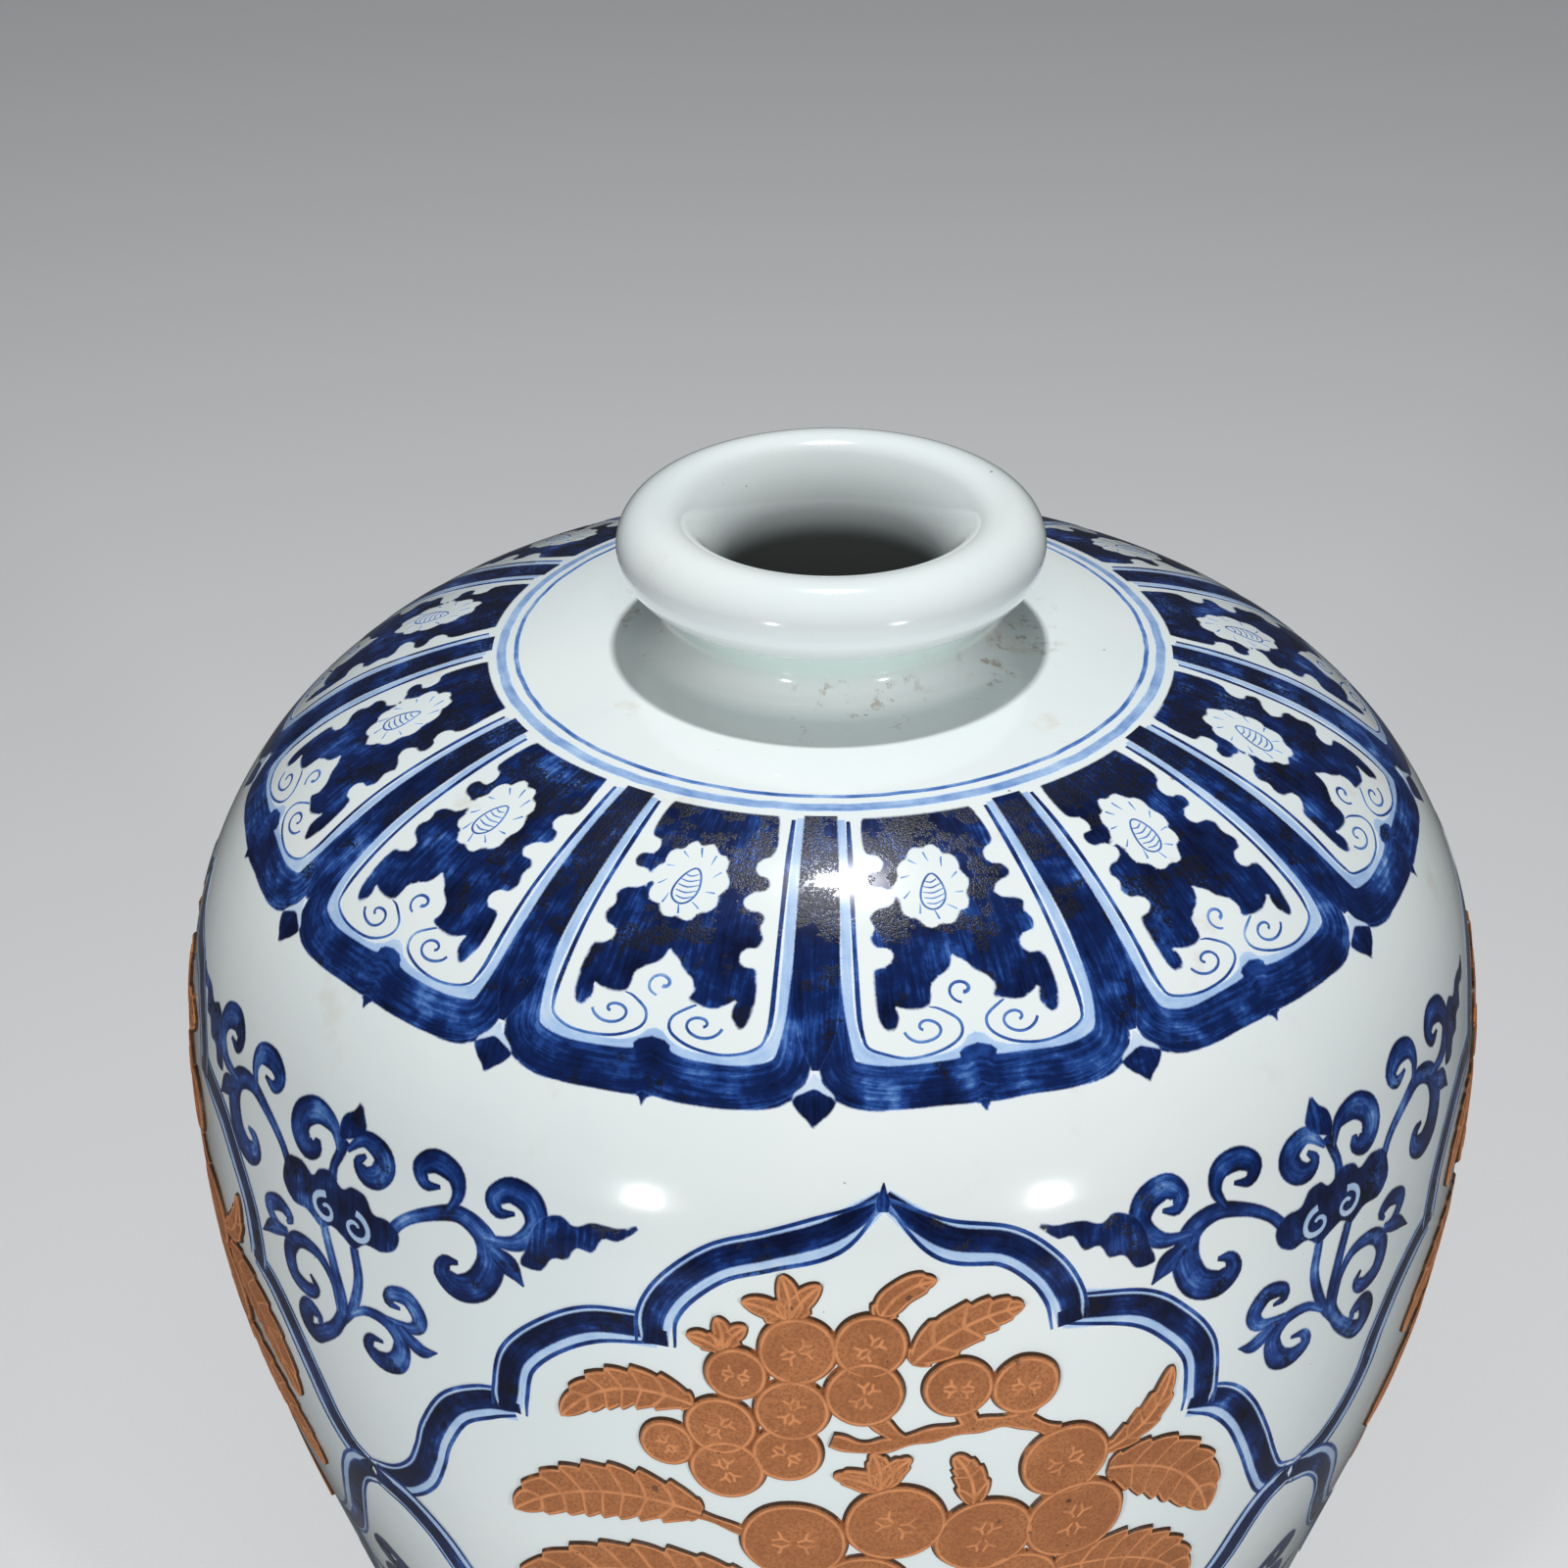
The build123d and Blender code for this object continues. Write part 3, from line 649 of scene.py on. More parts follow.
def lappet(index, flip=None):
    """One lappet about its centre. flip turns it over, to stand up from the given mark."""
    centre = lappet_pitch * (index + lappet_start)
    seed = index + (lappet_seed if flip else 0)

    def at(points, mirror=1, aside=0):
        moved = [hand(mirror * rel + aside + centre, mark, seed) for rel, mark in points]
        return moved if flip is None else [(azimuth, flip + lappet_top - mark) for azimuth, mark in moved]

    def in_flower(reach, turn):
        rel, mark = flower_place
        return rel + flower_wide * reach * sin(turn), mark + flower_tall * reach * cos(turn)

    def across(line):
        """A line drawn from its left end to its middle, carried on to the right."""
        return at(line + [(-rel, mark) for rel, mark in line[-2::-1]])

    flower = []
    for i in range(flower_lobes * 8):
        turn = 2 * pi * i / (flower_lobes * 8)
        lobe = abs(sin(turn * flower_lobes / 2)) * 2 - 1
        flower.append(in_flower(1 + flower_waver * lobe + 0.05 * sin(2 * turn + index), turn))
    edge = -lappet_pitch / 2
    layers = [
        stroke(across(pale), pale_half + pale_half[-2::-1], 0.13),
        wash([at(corner)], 0.66, 0.2),
        wash([at(corner, -1)[::-1]], 0.66, 0.2),
        stroke(across(border), border_half + border_half[-2::-1], 0.61, 0.35, lean=-0.08, columns=11),
        wash([at(tick)], 0.72, pitch=0.8),
        stroke(at(frame_line), frame_half, 0.52, 0.3),
        stroke(at(frame_line, -1), frame_half, 0.52, 0.3),
        stroke(at(curl_line), curl_half, 0.40),
        stroke(at(curl_line[:-1] + [(-3.4, 412.0)], -1), curl_half, 0.40),
        wash([at(ground), at(flower)[::-1]], 0.70, 0.9),
        stroke(at(spiral(-4.6, 408.0, 2.1, 3.3, 1, pi * 1.05, pi * 2.2, 0.86)), 0.42, 0.38),
        stroke(at(spiral(4.2, 408.0, 2.1, 3.3, -1, -pi * 0.05, pi * 2.2, 0.86)), 0.42, 0.38),
        stroke(at(spiral(-0.4, 415.3, 1.6, 2.8, -1, pi * 1.45, pi * 1.9, 0.8)),
               np.linspace(0.35, 0.6, 22), 0.34),
    ]
    pod = [(-1.1 + 1.5 * sin(t) * (1 - 0.3 * cos(t)) + 0.3 * cos(t), 438.8 + 4.6 * cos(t))
           for t in np.linspace(0, 2 * pi, 21)]
    layers.append(stroke(at(pod), 0.30, 0.38))
    for i in range(5):
        mark, reach = 435.9 + 1.4 * i, 1.25 - 0.09 * (i - 1.5) ** 2
        bar = [(-1.15 - reach, mark), (-1.1, mark - 0.4), (-0.95 + reach, mark + 0.3)]
        layers.append(stroke(at(bar), [0.15, 0.27, 0.15], 0.36))
    for i in range(flower_lobes):
        turn = 2 * pi * i / flower_lobes
        petal = [in_flower(reach, turn + bend) for reach, bend in ((0.90, 0), (0.78, 0.05), (0.64, 0.16))]
        layers.append(stroke(at(petal), [0.30, 0.26, 0.1], 0.26))
    layers += [
        stroke(at(stripe, aside=edge), stripe_half, 0.70, 1.0, core=-0.06, columns=9),
        wash([at(notch, aside=edge)], 0.07, pitch=0.9),
        wash([at(drop, aside=edge)], 0.76, pitch=0.9),
    ]
    for layer in layers:
        marks = layer["mark"] if flip is None else flip + lappet_top - layer["mark"]
        layer["heap"] = layer["heap"] * np.clip((marks - heap_start) / heap_reach, 0.1, 1)
    return layers


for index in range(lappet_count):
    painted(f"shoulder_lappet_{index}", lappet(index), film_step / 2 * (index % 2))

# Four panels of six cusps with a point above and below, one to a quarter turn: a dark band with a
# pale wash each side, a thin line at both edges and a dark tip at each point.
panel_turn, panel_mid, gap_turn = 90, 270.0, -44.4
panel_left = [
    [(4.2, 374.2), (0, 367), (-5, 363.2), (-9, 359.5), (-12, 353.5), (-13.7, 346.5), (-13.9, 338.6)],
    [(-13.9, 342.6), (-19, 341.2), (-23, 335.5), (-25.8, 327), (-26.7, 318), (-26.8, 312.6)],
    [(-26.6, 314.8), (-29.4, 312.4), (-32.6, 306.5), (-35, 296.5), (-36.2, 288), (-38, 280), (-40.8, 273.2),
     (-44.6, 270)],
]
panel_tip = [(4.2, 377.4), (4.15, 375.4), (4.1, 373.4), (4.05, 371.4)]
panel_tip_half = [0.2, 1.0, 1.8, 1.4]
panel_right = [
    [(4.2, 374.2), (9, 364.8), (14, 361.5), (17, 355.5), (18.7, 348.3), (19.2, 341.2)],
    [(18.9, 344.8), (25, 341.2), (28.6, 334), (31, 325), (31.5, 315), (31.3, 309.2)],
    [(30.8, 311.6), (33.8, 308), (36.2, 301), (38.6, 290), (40.4, 280), (42.2, 273.2), (44.8, 270)],
]


def panel_band(runs, outward, azimuth):
    """The band along one side: wash, dark band, its dark end, then the thin lines at both edges."""
    layers = []
    for side in (1, -1):
        def at(rows):
            return [hand(a + azimuth, panel_mid + side * (mark - panel_mid), azimuth + side)
                    for a, mark in rows]

        for number, run in reversed(list(enumerate(runs))):
            points = at(run)
            middle = len(points) - 2
            turn = outward * side
            first = 0.05 if number == 0 else 0.8
            (a0, m0), (a1, m1) = points[-2:]
            layers += [
                stroke(points, [3.6 * first + 2.2] + [4.2] * middle + [3.0], 0.12),
                stroke(points, [2.0 + first] + [2.8] * middle + [2.2], [0.78] + [0.72] * middle + [0.84],
                       0.15, shift=[0] + [-0.5 * turn] * (middle + 1), core=0.06, lean=-0.14 * turn),
                stroke([(a0 + 0.5 * (a1 - a0), m0 + 0.5 * (m1 - m0)), (a1, m1)], [2.6, 3.2], 0.86),
            ]
            for reach, start, half, tone in ((4.2, 0.5, 0.66, 0.52), (-4.0, 0.45, 0.58, 0.50)):
                layers.append(stroke(points, [start] + [half] * middle + [0.4], tone,
                                     shift=[reach * turn * first] + [reach * turn] * (middle + 1)))
        if outward > 0:
            layers.append(stroke(at(panel_tip), panel_tip_half, 0.80, 0.15))
    return layers


for quarter in range(4):
    azimuth = panel_turn * quarter
    bands = panel_band(panel_right, -1, azimuth) + panel_band(panel_left, 1, azimuth)
    painted(f"panel_band_{quarter}", bands)

# Eight sprays of scrolling fungus, one above and one below each gap between two panels: a bud and
# a cloud-shaped head on a double stem, with scrolling arms that end in a flame of leaf.
spray_arm = [
    ([(6, 346.5), (7.5, 351), (10, 355), (13, 357.5), (15.4, 355), (16.2, 349), (15.2, 342.8),
      (13.2, 340.4), (11.6, 342.4), (12, 345.6), (13.2, 346.2)],
     [1.8, 1.7, 1.9, 2.4, 3.1, 3.8, 4, 3.6, 2.8, 1.9, 0.7]),
    ([(12, 357.5), (12.8, 362), (12.2, 366), (10.2, 367), (8.7, 364.5), (9.4, 361.4), (11, 362)],
     [1, 1.9, 2.8, 3, 2.5, 1.8, 0.6]),
    ([(15.5, 354.4), (18.5, 355.3), (20.2, 360), (19.6, 365), (17.6, 366.6), (16.2, 364), (16.8, 361.2),
      (18.2, 361.8)],
     [1.1, 2.2, 2.8, 3.4, 3.2, 2.5, 1.8, 0.6]),
    ([(16.2, 352.4), (18, 349.6), (19.4, 345.8)], [1.5, 2.8, 0.3]),
]
spray_rest = [
    ([(-0.9, 351), (-0.8, 354.5), (-0.3, 358), (0.3, 362)], [1.9, 1.6, 1.7, 1.9]),
    ([(-0.4, 358.8), (-1.4, 363.2), (-3.7, 364.2), (-5.5, 361.6), (-5.7, 357.6), (-4.6, 354.8), (-3.3, 356),
      (-3.2, 358.2)],
     [0.8, 2.2, 3.3, 3.8, 3.8, 3.2, 2.4, 1.1]),
    ([(0.6, 360), (2.4, 364.3), (4.3, 363.6), (5, 360.6), (4.2, 357.4), (2.9, 356.6), (2, 358.6),
      (2.8, 361)],
     [0.8, 2.2, 3.1, 3.5, 3.1, 2.6, 1.8, 0.7]),
    ([(1.9, 337.5), (2.3, 330), (1.2, 321), (-0.8, 313.5)], [1.7, 1.8, 1.8, 1.4]),
    ([(-2, 338), (-0.9, 330), (-0.2, 320), (-1.5, 312), (-4, 306), (-5.4, 304.8), (-6.2, 308),
      (-5.3, 311.8), (-3.9, 310.8), (-4.1, 308.6)],
     [1.8, 1.9, 2, 2.2, 2.6, 3, 3.2, 2.7, 1.8, 0.6]),
    ([(-0.8, 317), (-1.2, 325), (-3, 329.6), (-5.8, 329), (-7.5, 324), (-7, 318.4), (-5, 317),
      (-3.8, 319.5), (-4.5, 322)],
     [0.8, 1.5, 2, 2.4, 2.8, 2.9, 2.5, 1.7, 0.6]),
    ([(-6.6, 326.5), (-9.6, 328.9), (-10.4, 332.4), (-8.6, 334.9), (-6.9, 333.4), (-7.6, 331)],
     [0.9, 1.9, 2.4, 2.4, 1.8, 0.6]),
    ([(-7.5, 328.5), (-10, 326.4), (-12.2, 322.3)], [1.5, 2.3, 0.2]),
    ([(0.9, 318.5), (2.9, 322.3), (5.4, 322.3), (6.8, 318.4), (6.1, 312.6), (4.2, 310.4), (2.7, 312.2),
      (3.1, 315.4), (4.5, 316)],
     [0.9, 1.6, 2.2, 2.7, 3.1, 2.9, 2.2, 1.5, 0.6]),
    ([(5.4, 323.6), (8.3, 324.2), (9.2, 327.9), (8, 331.6), (6.1, 331.2), (5.7, 328.6), (7.1, 328)],
     [0.9, 1.9, 2.6, 2.7, 2.2, 1.6, 0.6]),
    ([(6.8, 322.6), (8.8, 319.6), (10.7, 320.6)], [1.7, 2.4, 0.2]),
]
bud = [
    (-0.5, 360.8), (-0.5, 360.8), (-0.8, 364.4), (-0.4, 367.6), (0.6, 369.8), (1.2, 373.4), (1.2, 373.4),
    (2.1, 369.6), (2.6, 366.6), (1.7, 363.6),
]
flame = [
    (19, 351), (19.5, 355.6), (19.9, 359.6), (20.9, 363), (22.4, 364.4), (23.6, 362.8), (24.9, 364.3),
    (26.3, 364.6), (27.6, 364.5), (29.8, 366.8), (29.8, 366.8), (28.6, 363.2), (27.3, 360.8), (26.1, 360.9),
    (25.2, 357.4), (23.9, 357.4), (23.1, 354.4), (21.8, 354), (20.8, 350.6),
]
cloud_head = [
    (-7.9, 345.5), (-7.2, 349.6), (-5.2, 351), (-3.7, 349.6), (-2.9, 351.9), (-1.2, 353), (0.4, 350.8),
    (1.5, 352.6), (3.2, 352.2), (4.2, 349.2), (5.7, 349.4), (7.1, 346.8), (6.8, 342.6), (5.2, 340),
    (3.4, 339.8), (2, 337), (0.4, 338.4), (-0.9, 339), (-2.4, 337), (-4.2, 338.8), (-6.3, 338.6),
    (-7.8, 341.6),
]


def spray(centre, side, flip, seed):
    """One spray. side mirrors it left to right, and flip turns it over below the panels' middle."""
    def at(points, mirror=False):
        if mirror:
            points = [(-0.7 - rel * 1.03, mark) for rel, mark in points]
        moved = [hand(centre + side * rel, mark, seed) for rel, mark in points]
        return [(a, 2 * panel_mid - mark) for a, mark in moved] if flip else moved

    def brushed(points, half, mirror=False):
        tone = np.linspace(0.76, 0.96, len(points))
        return stroke(at(points, mirror), half, tone, 0.2, core=-0.36, columns=9)

    layers = [brushed(points, half, mirror) for points, half in spray_arm for mirror in (False, True)]
    layers += [wash([at(flame, mirror)], 0.72, 0.3, pitch=1.2) for mirror in (False, True)]
    layers += [brushed(points, half) for points, half in spray_rest]
    layers += [wash([at(bud)], 0.70, 0.2, pitch=1.0), wash([at(cloud_head)], 0.72, 0.3, pitch=1.2)]
    for rel, turn in ((-1.7, 1), (2.1, -1)):
        eye = spiral(rel, 342.8, 1.8, 3.8, turn, pi / 2, pi * 2.3, 0.8)
        layers.append(stroke(at(eye), np.linspace(1.0, 0.5, 22), 0.12))
    return layers


for quarter in range(4):
    gap, side = panel_turn * quarter + gap_turn, 1 if quarter % 2 == 0 else -1
    painted(f"upper_spray_{quarter}", spray(gap, side, False, quarter))
    painted(f"lower_spray_{quarter}", spray(gap, side, True, quarter + 9))

# Foot border: lappets that stand up from the foot, as those on the shoulder hang down, between
# two pairs of rings.
foot_start = 16.0
for index in range(lappet_count):
    painted(f"foot_lappet_{index}", lappet(index, foot_start), film_step / 2 * (index % 2))
painted("foot_rings", [ring(12.3, 3, 1.2, 0.26), ring(8.4, 4, 0.5, 0.44), ring(97.0, 5, 0.5, 0.44, 0.3),
                       ring(100.4, 6, 1.0, 0.26, 0.3)])

# Moulded sprigs of fruit and leaves: pressed in clay, stuck on with slip, and left bare of glaze,
# so they fire to orange-brown biscuit with a dark line where the glaze meets them.
sprig_across, sprig_up, sprig_mid_height, sprig_radius = 43.5, 106.0, 262.0, 148.0
fruit_size, leaf_size, stem_half = 10.0, 17.0, 1.8
seat, fruit_skirt, leaf_skirt = 0.02, 0.45, 0.4
fruit_rise, fruit_dome, outline_rise, star_rise = 0.75, 0.25, 0.22, 0.18
leaf_rise, leaf_dome, vein_rise, twig_rise, twig_dome = 0.5, 0.12, 0.24, 0.35, 0.4


def biscuit_finish(name):
    finish = Finish(name)
    ridge, edge = finish.attribute("ridge"), finish.attribute("edge")
    cloud = finish.grain(70, 4, rough=0.6)
    grit = finish.grain(1500, 3, rough=0.7)
    field = finish.blend(cloud.between(0.3, 0.7), (0.35, 0.125, 0.040, 1), (0.46, 0.178, 0.062, 1))
    field = finish.blend(grit.between(0.44, 0.60) * 0.75, field, (0.25, 0.085, 0.028, 1))
    # Raised ridges are painted a paler orange, in patches, by their ridge height.
    paler_ridges = ridge.between(0.3, 0.85) * (0.55 + 0.45 * finish.grain(260, 2).between(0.35, 0.6))
    field = finish.blend(paler_ridges, field, (0.64, 0.255, 0.098, 1))
    scorched = (edge * 0.9 + (finish.grain(120, 3) - 0.5) * 1.5).between(0.52, 0.76)
    blots = finish.grain(48, 4, rough=0.7).between(0.66, 0.70) * finish.grain(420, 3).between(0.40, 0.55)
    scorched = scorched + blots
    field = finish.blend(scorched * 0.9, field, (0.040, 0.024, 0.014, 1))
    spot = (finish.grain(300, 1) > 0.79) * 0.7
    field = finish.blend(spot, field, (0.05, 0.03, 0.02, 1))
    finish.set(Base_Color=field, Roughness=0.72 - 0.35 * scorched, IOR=1.45)
    finish.set(Normal=finish.bump(grit * 0.6 + cloud * 0.4, 0.8, 0.0004))
    return finish.material


biscuit = biscuit_finish("biscuit clay")


def place_of(across, up):
    """A sprig's place on the wall, from shares of the panel's half width and half height."""
    return across * sprig_across, mark_at(sprig_mid_height + up * sprig_up)


def relief(azimuth, mark, flat, height, ridge, edge, faces, reach=0.0):
    """A patch of relief: flat places in millimetres about a point of the wall, with heights."""
    marks = mark + flat[:, 1]
    return dict(azimuth=azimuth + flat[:, 0] / degree_at(marks), mark=marks, out=height,
                ridge=ridge, edge=edge, faces=faces, disc=(azimuth, mark, reach))


def ring_faces(rings, segments):
    faces = [(0, 1 + j, 1 + (j + 1) % segments) for j in range(segments)]
    for i in range(rings - 1):
        a, b = 1 + i * segments, 1 + (i + 1) * segments
        faces += [(a + j, b + j, b + (j + 1) % segments, a + (j + 1) % segments) for j in range(segments)]
    return faces


def fruit(across, up, size, lift):
    """A round fruit with a raised outline and the star of its calyx."""
    azimuth, mark = place_of(across, up)
    reach = size * fruit_size
    segments = 56
    runs = ((0, 0.5, 14), (0.5, 0.86, 7), (0.86, 1, 9))
    shares = np.concatenate([np.linspace(*run)[1:] for run in runs])
    turn = np.linspace(0, 2 * pi, segments, endpoint=False)
    seed = Vector((across * 9, up * 9, 0))
    waver = np.array([1 + 0.025 * noise.noise(seed + Vector((cos(t), sin(t), 0)) * 1.3) for t in turn])
    rim = np.column_stack([np.sin(turn), np.cos(turn)]) * waver[:, None]
    rho = np.concatenate([[0], np.repeat(shares, segments)])
    flat = np.vstack([[0, 0], (shares[:, None, None] * rim).reshape(-1, 2)]) * reach
    outline_ridge = np.exp(-(((1 - rho) * reach - 0.75) / 0.42) ** 2)
    star = np.full(len(flat), 9.0)
    tilt = 2 * pi * noise.noise(seed + Vector((5, 5, 5)))

    def out_to(angle, share):
        return np.array([cos(angle), sin(angle)]) * reach * share

    for arm in range(4):
        angle = tilt + arm * pi / 2 + (0.35 if arm % 2 else -0.25)
        start, knee = out_to(angle, 0.10), out_to(angle, 0.24)
        for bend in (-0.75, 0.75):
            tip = knee + out_to(angle + bend, 0.19)
            for p, q in ((start, knee), (knee, tip)):
                star = np.minimum(star, gap_to(flat, p, q))
    star_ridge = np.exp(-(star / 0.40) ** 2)
    height = fruit_rise + fruit_dome * (1 - rho**2) + lift
    height = height + outline_rise * outline_ridge + star_rise * star_ridge
    height[rho > 0.999] = 0.55 + lift * 0.5
    faces, top = ring_faces(len(shares), segments), len(flat)
    last = top - segments
    after = [(j + 1) % segments for j in range(segments)]
    faces += [(last + j, top + j, top + k, last + k) for j, k in enumerate(after)]
    faces += [(top + j, top + segments, top + k) for j, k in enumerate(after)]
    flat = np.vstack([flat, rim * (reach + fruit_skirt), [0, 0]])
    height = np.concatenate([height, np.full(segments + 1, seat)])
    ridge = np.concatenate([np.maximum(outline_ridge, star_ridge), np.zeros(segments + 1)])
    edge = np.concatenate([rho > 0.999, np.ones(segments + 1)])
    return relief(azimuth, mark, flat, height, ridge, edge, faces, reach)


def strip(azimuth, mark, centre, half, rise, ridges):
    """Relief about a centre line of (x, y) millimetres, closed below and round its edges."""
    rows, columns = rise.shape
    run = np.gradient(centre, axis=0)
    run /= np.maximum(np.hypot(*run.T), 1e-9)[:, None]
    left = np.column_stack([-run[:, 1], run[:, 0]])
    v = np.linspace(-1, 1, columns)

    def across(half):
        return (centre[:, None, :] + left[:, None, :] * (half[:, None] * v)[..., None]).reshape(-1, 2)

    edge = np.zeros((rows, columns))
    edge[:, [0, -1]] = edge[[0, -1], :] = 1
    faces, count = grid_faces(rows, columns), rows * columns
    faces += [tuple(count + k for k in reversed(face)) for face in faces]
    sides = ((0, count, columns), (count - columns + 1, count, 1), (count - columns - 1, 0, -columns),
             (columns - 2, 0, -1))
    border = [k for side in sides for k in range(*side)]
    faces += [(a, b, b + count, a + count) for a, b in zip(border[1:] + border[:1], border)]
    flat = np.vstack([across(half), across(half + leaf_skirt)])
    height = np.concatenate([rise.ravel(), np.full(count, seat)])
    ridge = np.concatenate([ridges.ravel(), np.zeros(count)])
    edge = np.concatenate([edge.ravel(), np.ones(count)])
    return relief(azimuth, mark, flat, height, ridge, edge, faces)


def leaf(across0, up0, across1, up1, width_share, bow_share, teeth=5):
    """A toothed leaf with a raised midrib, veins and outline, from its base to its tip."""
    azimuth0, mark0 = place_of(across0, up0)
    azimuth1, mark1 = place_of(across1, up1)
    middle = (mark0 + mark1) / 2
    scale = degree_at(middle)
    tip = np.array([(azimuth1 - azimuth0) * scale, mark1 - mark0])
    side = np.array([-tip[1], tip[0]])
    bow = bow_share if across1 > across0 else -bow_share
    fine = min(teeth, 5)
    t = np.linspace(0, 1, 40 + 16 * fine)
    centre = t[:, None] * tip + side * (4 * bow * t * (1 - t))[:, None]
    full = width_share * leaf_size / 2 * np.sqrt(np.sin(pi * np.clip(t, 0.002, 0.998) ** 0.8))
    v = np.linspace(-1, 1, 13 + 4 * fine)
    phase = t * (teeth + 0.5) + 0.4 * np.sin(5 * t + 9 * across0)
    saw = (phase + 0.12 * np.sin(9 * t)) % 1
    deep = [0.20 + 0.12 * noise.noise(Vector((across0 * 9, up0 * 9, share * teeth))) for share in t]
    deep = np.array(deep)
    tooth = saw**0.75 * np.clip((1 - saw) / 0.10, 0, 1)
    half = np.maximum(full * (0.98 - deep + 1.15 * deep * tooth), 0.25)
    inward = (1 - np.abs(v)) * half[:, None]
    midrib = np.exp(-((v * half[:, None]) / 0.5) ** 2)
    rank = phase[:, None] - 0.55 * np.abs(v) ** 1.2
    vein = np.exp(-(((rank % 1) - 0.5) * half.max() / (teeth * 0.22)) ** 2 * 2.6)
    vein = vein * (inward > 0.5) * (t[:, None] > 0.06)
    outline_ridge = np.exp(-((inward - 0.55) / 0.35) ** 2)
    ridges = np.maximum(np.maximum(midrib, vein * 0.8), outline_ridge)
    height = leaf_rise + leaf_dome * (1 - v**2) + vein_rise * ridges
    return strip(azimuth0, mark0, centre, half, height, ridges)


def twig(places, width=stem_half):
    """A rounded twig through given places."""
    rows = smooth_line([place_of(*place) for place in places], 0.8)
    azimuth, mark = rows[0]
    sideways = (rows[:, 0] - azimuth) * degree_at(rows[:, 1])
    centre = np.column_stack([sideways, rows[:, 1] - mark])
    half = np.full(len(centre), width) * (1 + 0.18 * np.sin(np.arange(len(centre)) * 0.5))
    v = np.linspace(-1, 1, 11)
    height = np.tile(twig_rise + twig_dome * np.sqrt(1 - 0.8 * v**2), (len(centre), 1))
    ridges = np.tile(np.exp(-((np.abs(v) - 0.75) / 0.18) ** 2), (len(centre), 1))
    return strip(azimuth, mark, centre, half, height, ridges)


def crown(across, up, reach_share, turns=(68, 10, -38)):
    """Sepals on a fruit: small plain leaves that fan out from one foot."""
    sepals, reach = [], reach_share * fruit_size
    for turn in turns:
        tip_across = across - reach * sin(radians(turn)) / (radians(sprig_radius) * sprig_across)
        tip_up = up + reach * cos(radians(turn)) / sprig_up
        sepals.append(leaf(across, up, tip_across, tip_up, 0.30 * reach_share + 0.06, 0.08, 1))
    return sepals


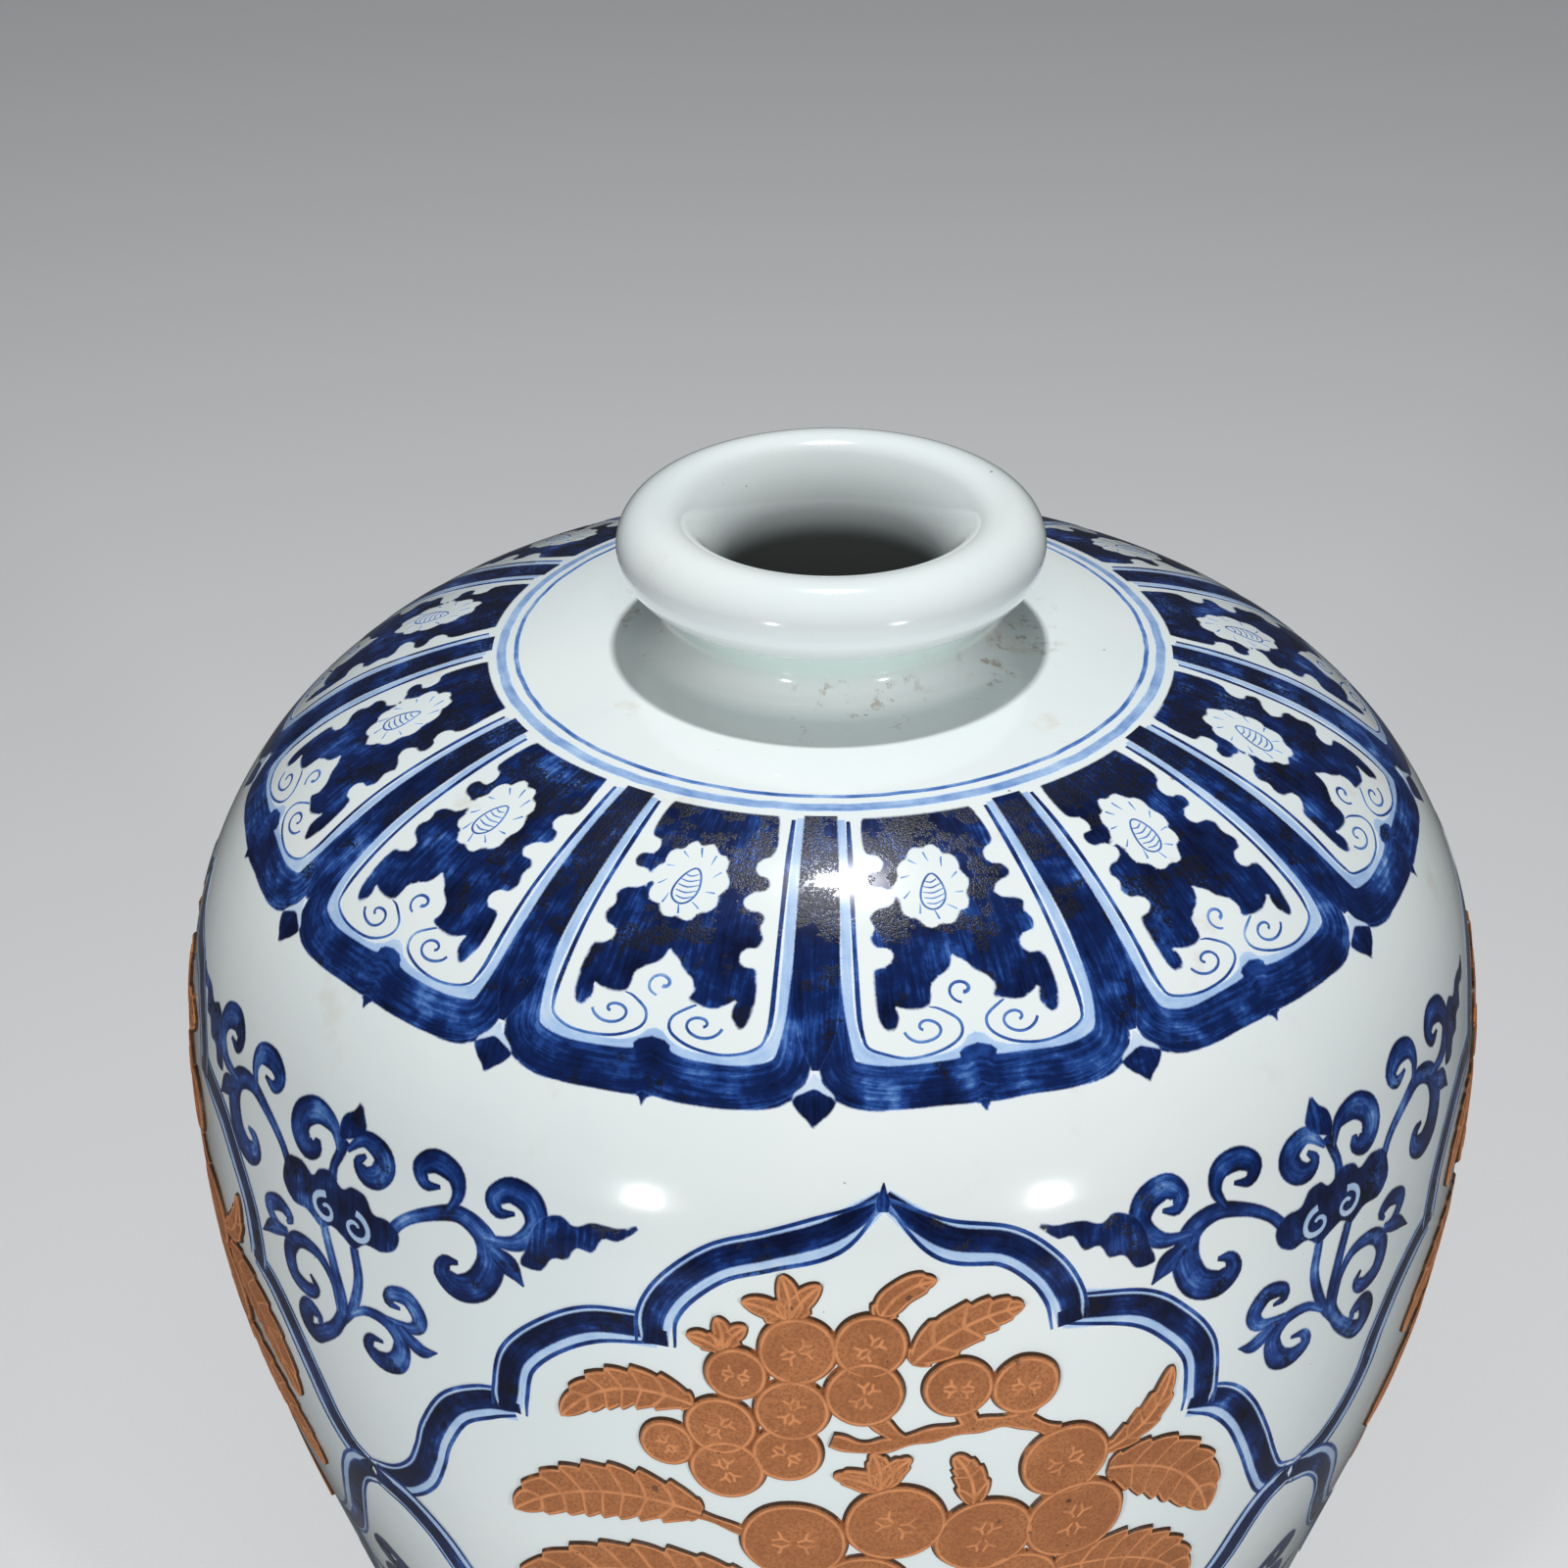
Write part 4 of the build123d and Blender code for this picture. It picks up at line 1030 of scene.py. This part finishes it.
sprigs = {
    "upper_fruits": [fruit(*row) for row in (
        (-0.17, 0.63, 0.66, 0.1), (-0.06, 0.69, 0.82, 0.0), (0.07, 0.70, 0.77, 0.12),
        (-0.07, 0.55, 0.79, 0.16), (0.06, 0.59, 0.83, 0.22), (-0.20, 0.50, 0.76, 0.05),
        (-0.30, 0.44, 0.60, 0.0), (-0.19, 0.39, 0.80, 0.10), (-0.08, 0.44, 0.75, 0.02))]
    + crown(-0.195, 0.68, 0.80) + crown(-0.075, 0.755, 1.05)
    + [leaf(0.085, 0.755, 0.19, 0.835, 0.46, 0.16, 2)],
    "fruit_pair": [fruit(0.23, 0.59, 0.75, 0.0), fruit(0.355, 0.575, 0.74, 0.1)],
    "lower_fruits": [fruit(*row) for row in (
        (0.44, 0.36, 0.99, 0.0), (0.12, 0.25, 1.09, 0.16), (-0.07, 0.20, 1.13, 0.05),
        (0.29, 0.19, 1.09, 0.08), (0.47, 0.19, 1.14, 0.16), (0.06, 0.06, 1.05, 0.0),
        (0.36, 0.03, 1.00, 0.0), (0.22, -0.08, 1.02, 0.12))]
    + crown(0.09, 0.345, 1.05)
    + [leaf(0.265, 0.28, 0.225, 0.42, 0.46, 0.10, 3), leaf(0.52, 0.36, 0.65, 0.53, 0.46, -0.16, 3)],
    "upper_leaf": [leaf(-0.25, 0.545, -0.505, 0.455, 0.68, 0.20)],
    "top_leaf": [leaf(0.145, 0.655, 0.35, 0.76, 0.66, 0.10)],
    "broad_leaf": [leaf(-0.24, 0.26, -0.63, 0.15, 1.00, 0.16, 7),
                   twig([(-0.16, 0.215), (-0.21, 0.24), (-0.27, 0.262)], 1.1)],
    "long_leaf": [leaf(-0.13, 0.04, -0.66, -0.10, 1.05, 0.16, 8)],
    "folded_leaf": [leaf(0.53, 0.31, 0.78, 0.075, 1.05, 0.16, 5)],
    "drooping_leaf": [leaf(0.44, 0.045, 0.77, -0.14, 1.10, 0.16, 6)],
    "branch": [twig([(0.0, 0.475), (0.07, 0.455), (0.19, 0.48), (0.33, 0.49), (0.42, 0.44)]),
               twig([(0.24, 0.53), (0.26, 0.485)]), twig([(0.37, 0.52), (0.34, 0.485)]),
               twig([(0.075, 0.53), (0.13, 0.465)])],
    "stalk": [twig([(0.15, -0.15), (0.08, -0.30), (0.02, -0.46), (-0.02, -0.68)]),
              twig([(0.03, -0.44), (-0.14, -0.43)]),
              leaf(0.09, -0.28, 0.54, -0.42, 1.00, 0.14, 6), leaf(0.10, -0.25, -0.36, -0.22, 0.80, 0.14, 6),
              leaf(0.0, -0.50, 0.32, -0.68, 0.85, 0.14, 5),
              fruit(-0.22, -0.42, 0.86, 0.1), fruit(-0.355, -0.36, 0.80, 0.0)],
}
discs = [patch["disc"] for patches in sprigs.values() for patch in patches if patch["disc"][2]]
for patch in (patch for patches in sprigs.values() for patch in patches):
    for disc in discs:
        if disc != patch["disc"]:
            across = (patch["azimuth"] - disc[0]) * degree_at(disc[1])
            patch["edge"] = patch["edge"] * (np.hypot(across, patch["mark"] - disc[1]) > disc[2] + 0.7)
for quarter, panel in enumerate(["front", "right", "back", "left"]):
    for sprig, patches in sprigs.items():
        places = [on_wall(patch["azimuth"] + panel_turn * quarter, patch["mark"], patch["out"])
                  for patch in patches]
        piece = mesh_piece(f"{panel}_{sprig}_relief", np.concatenate(places), joined_faces(patches))
        for key in ("ridge", "edge"):
            store(piece, key, np.concatenate([patch[key] for patch in patches]))
        pick(piece)
        bpy.ops.object.mode_set(mode="EDIT")
        turn_outwards(50)
        piece.data.materials.append(biscuit)
        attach(piece, "root")
        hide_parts(f"{panel}_{sprig}")
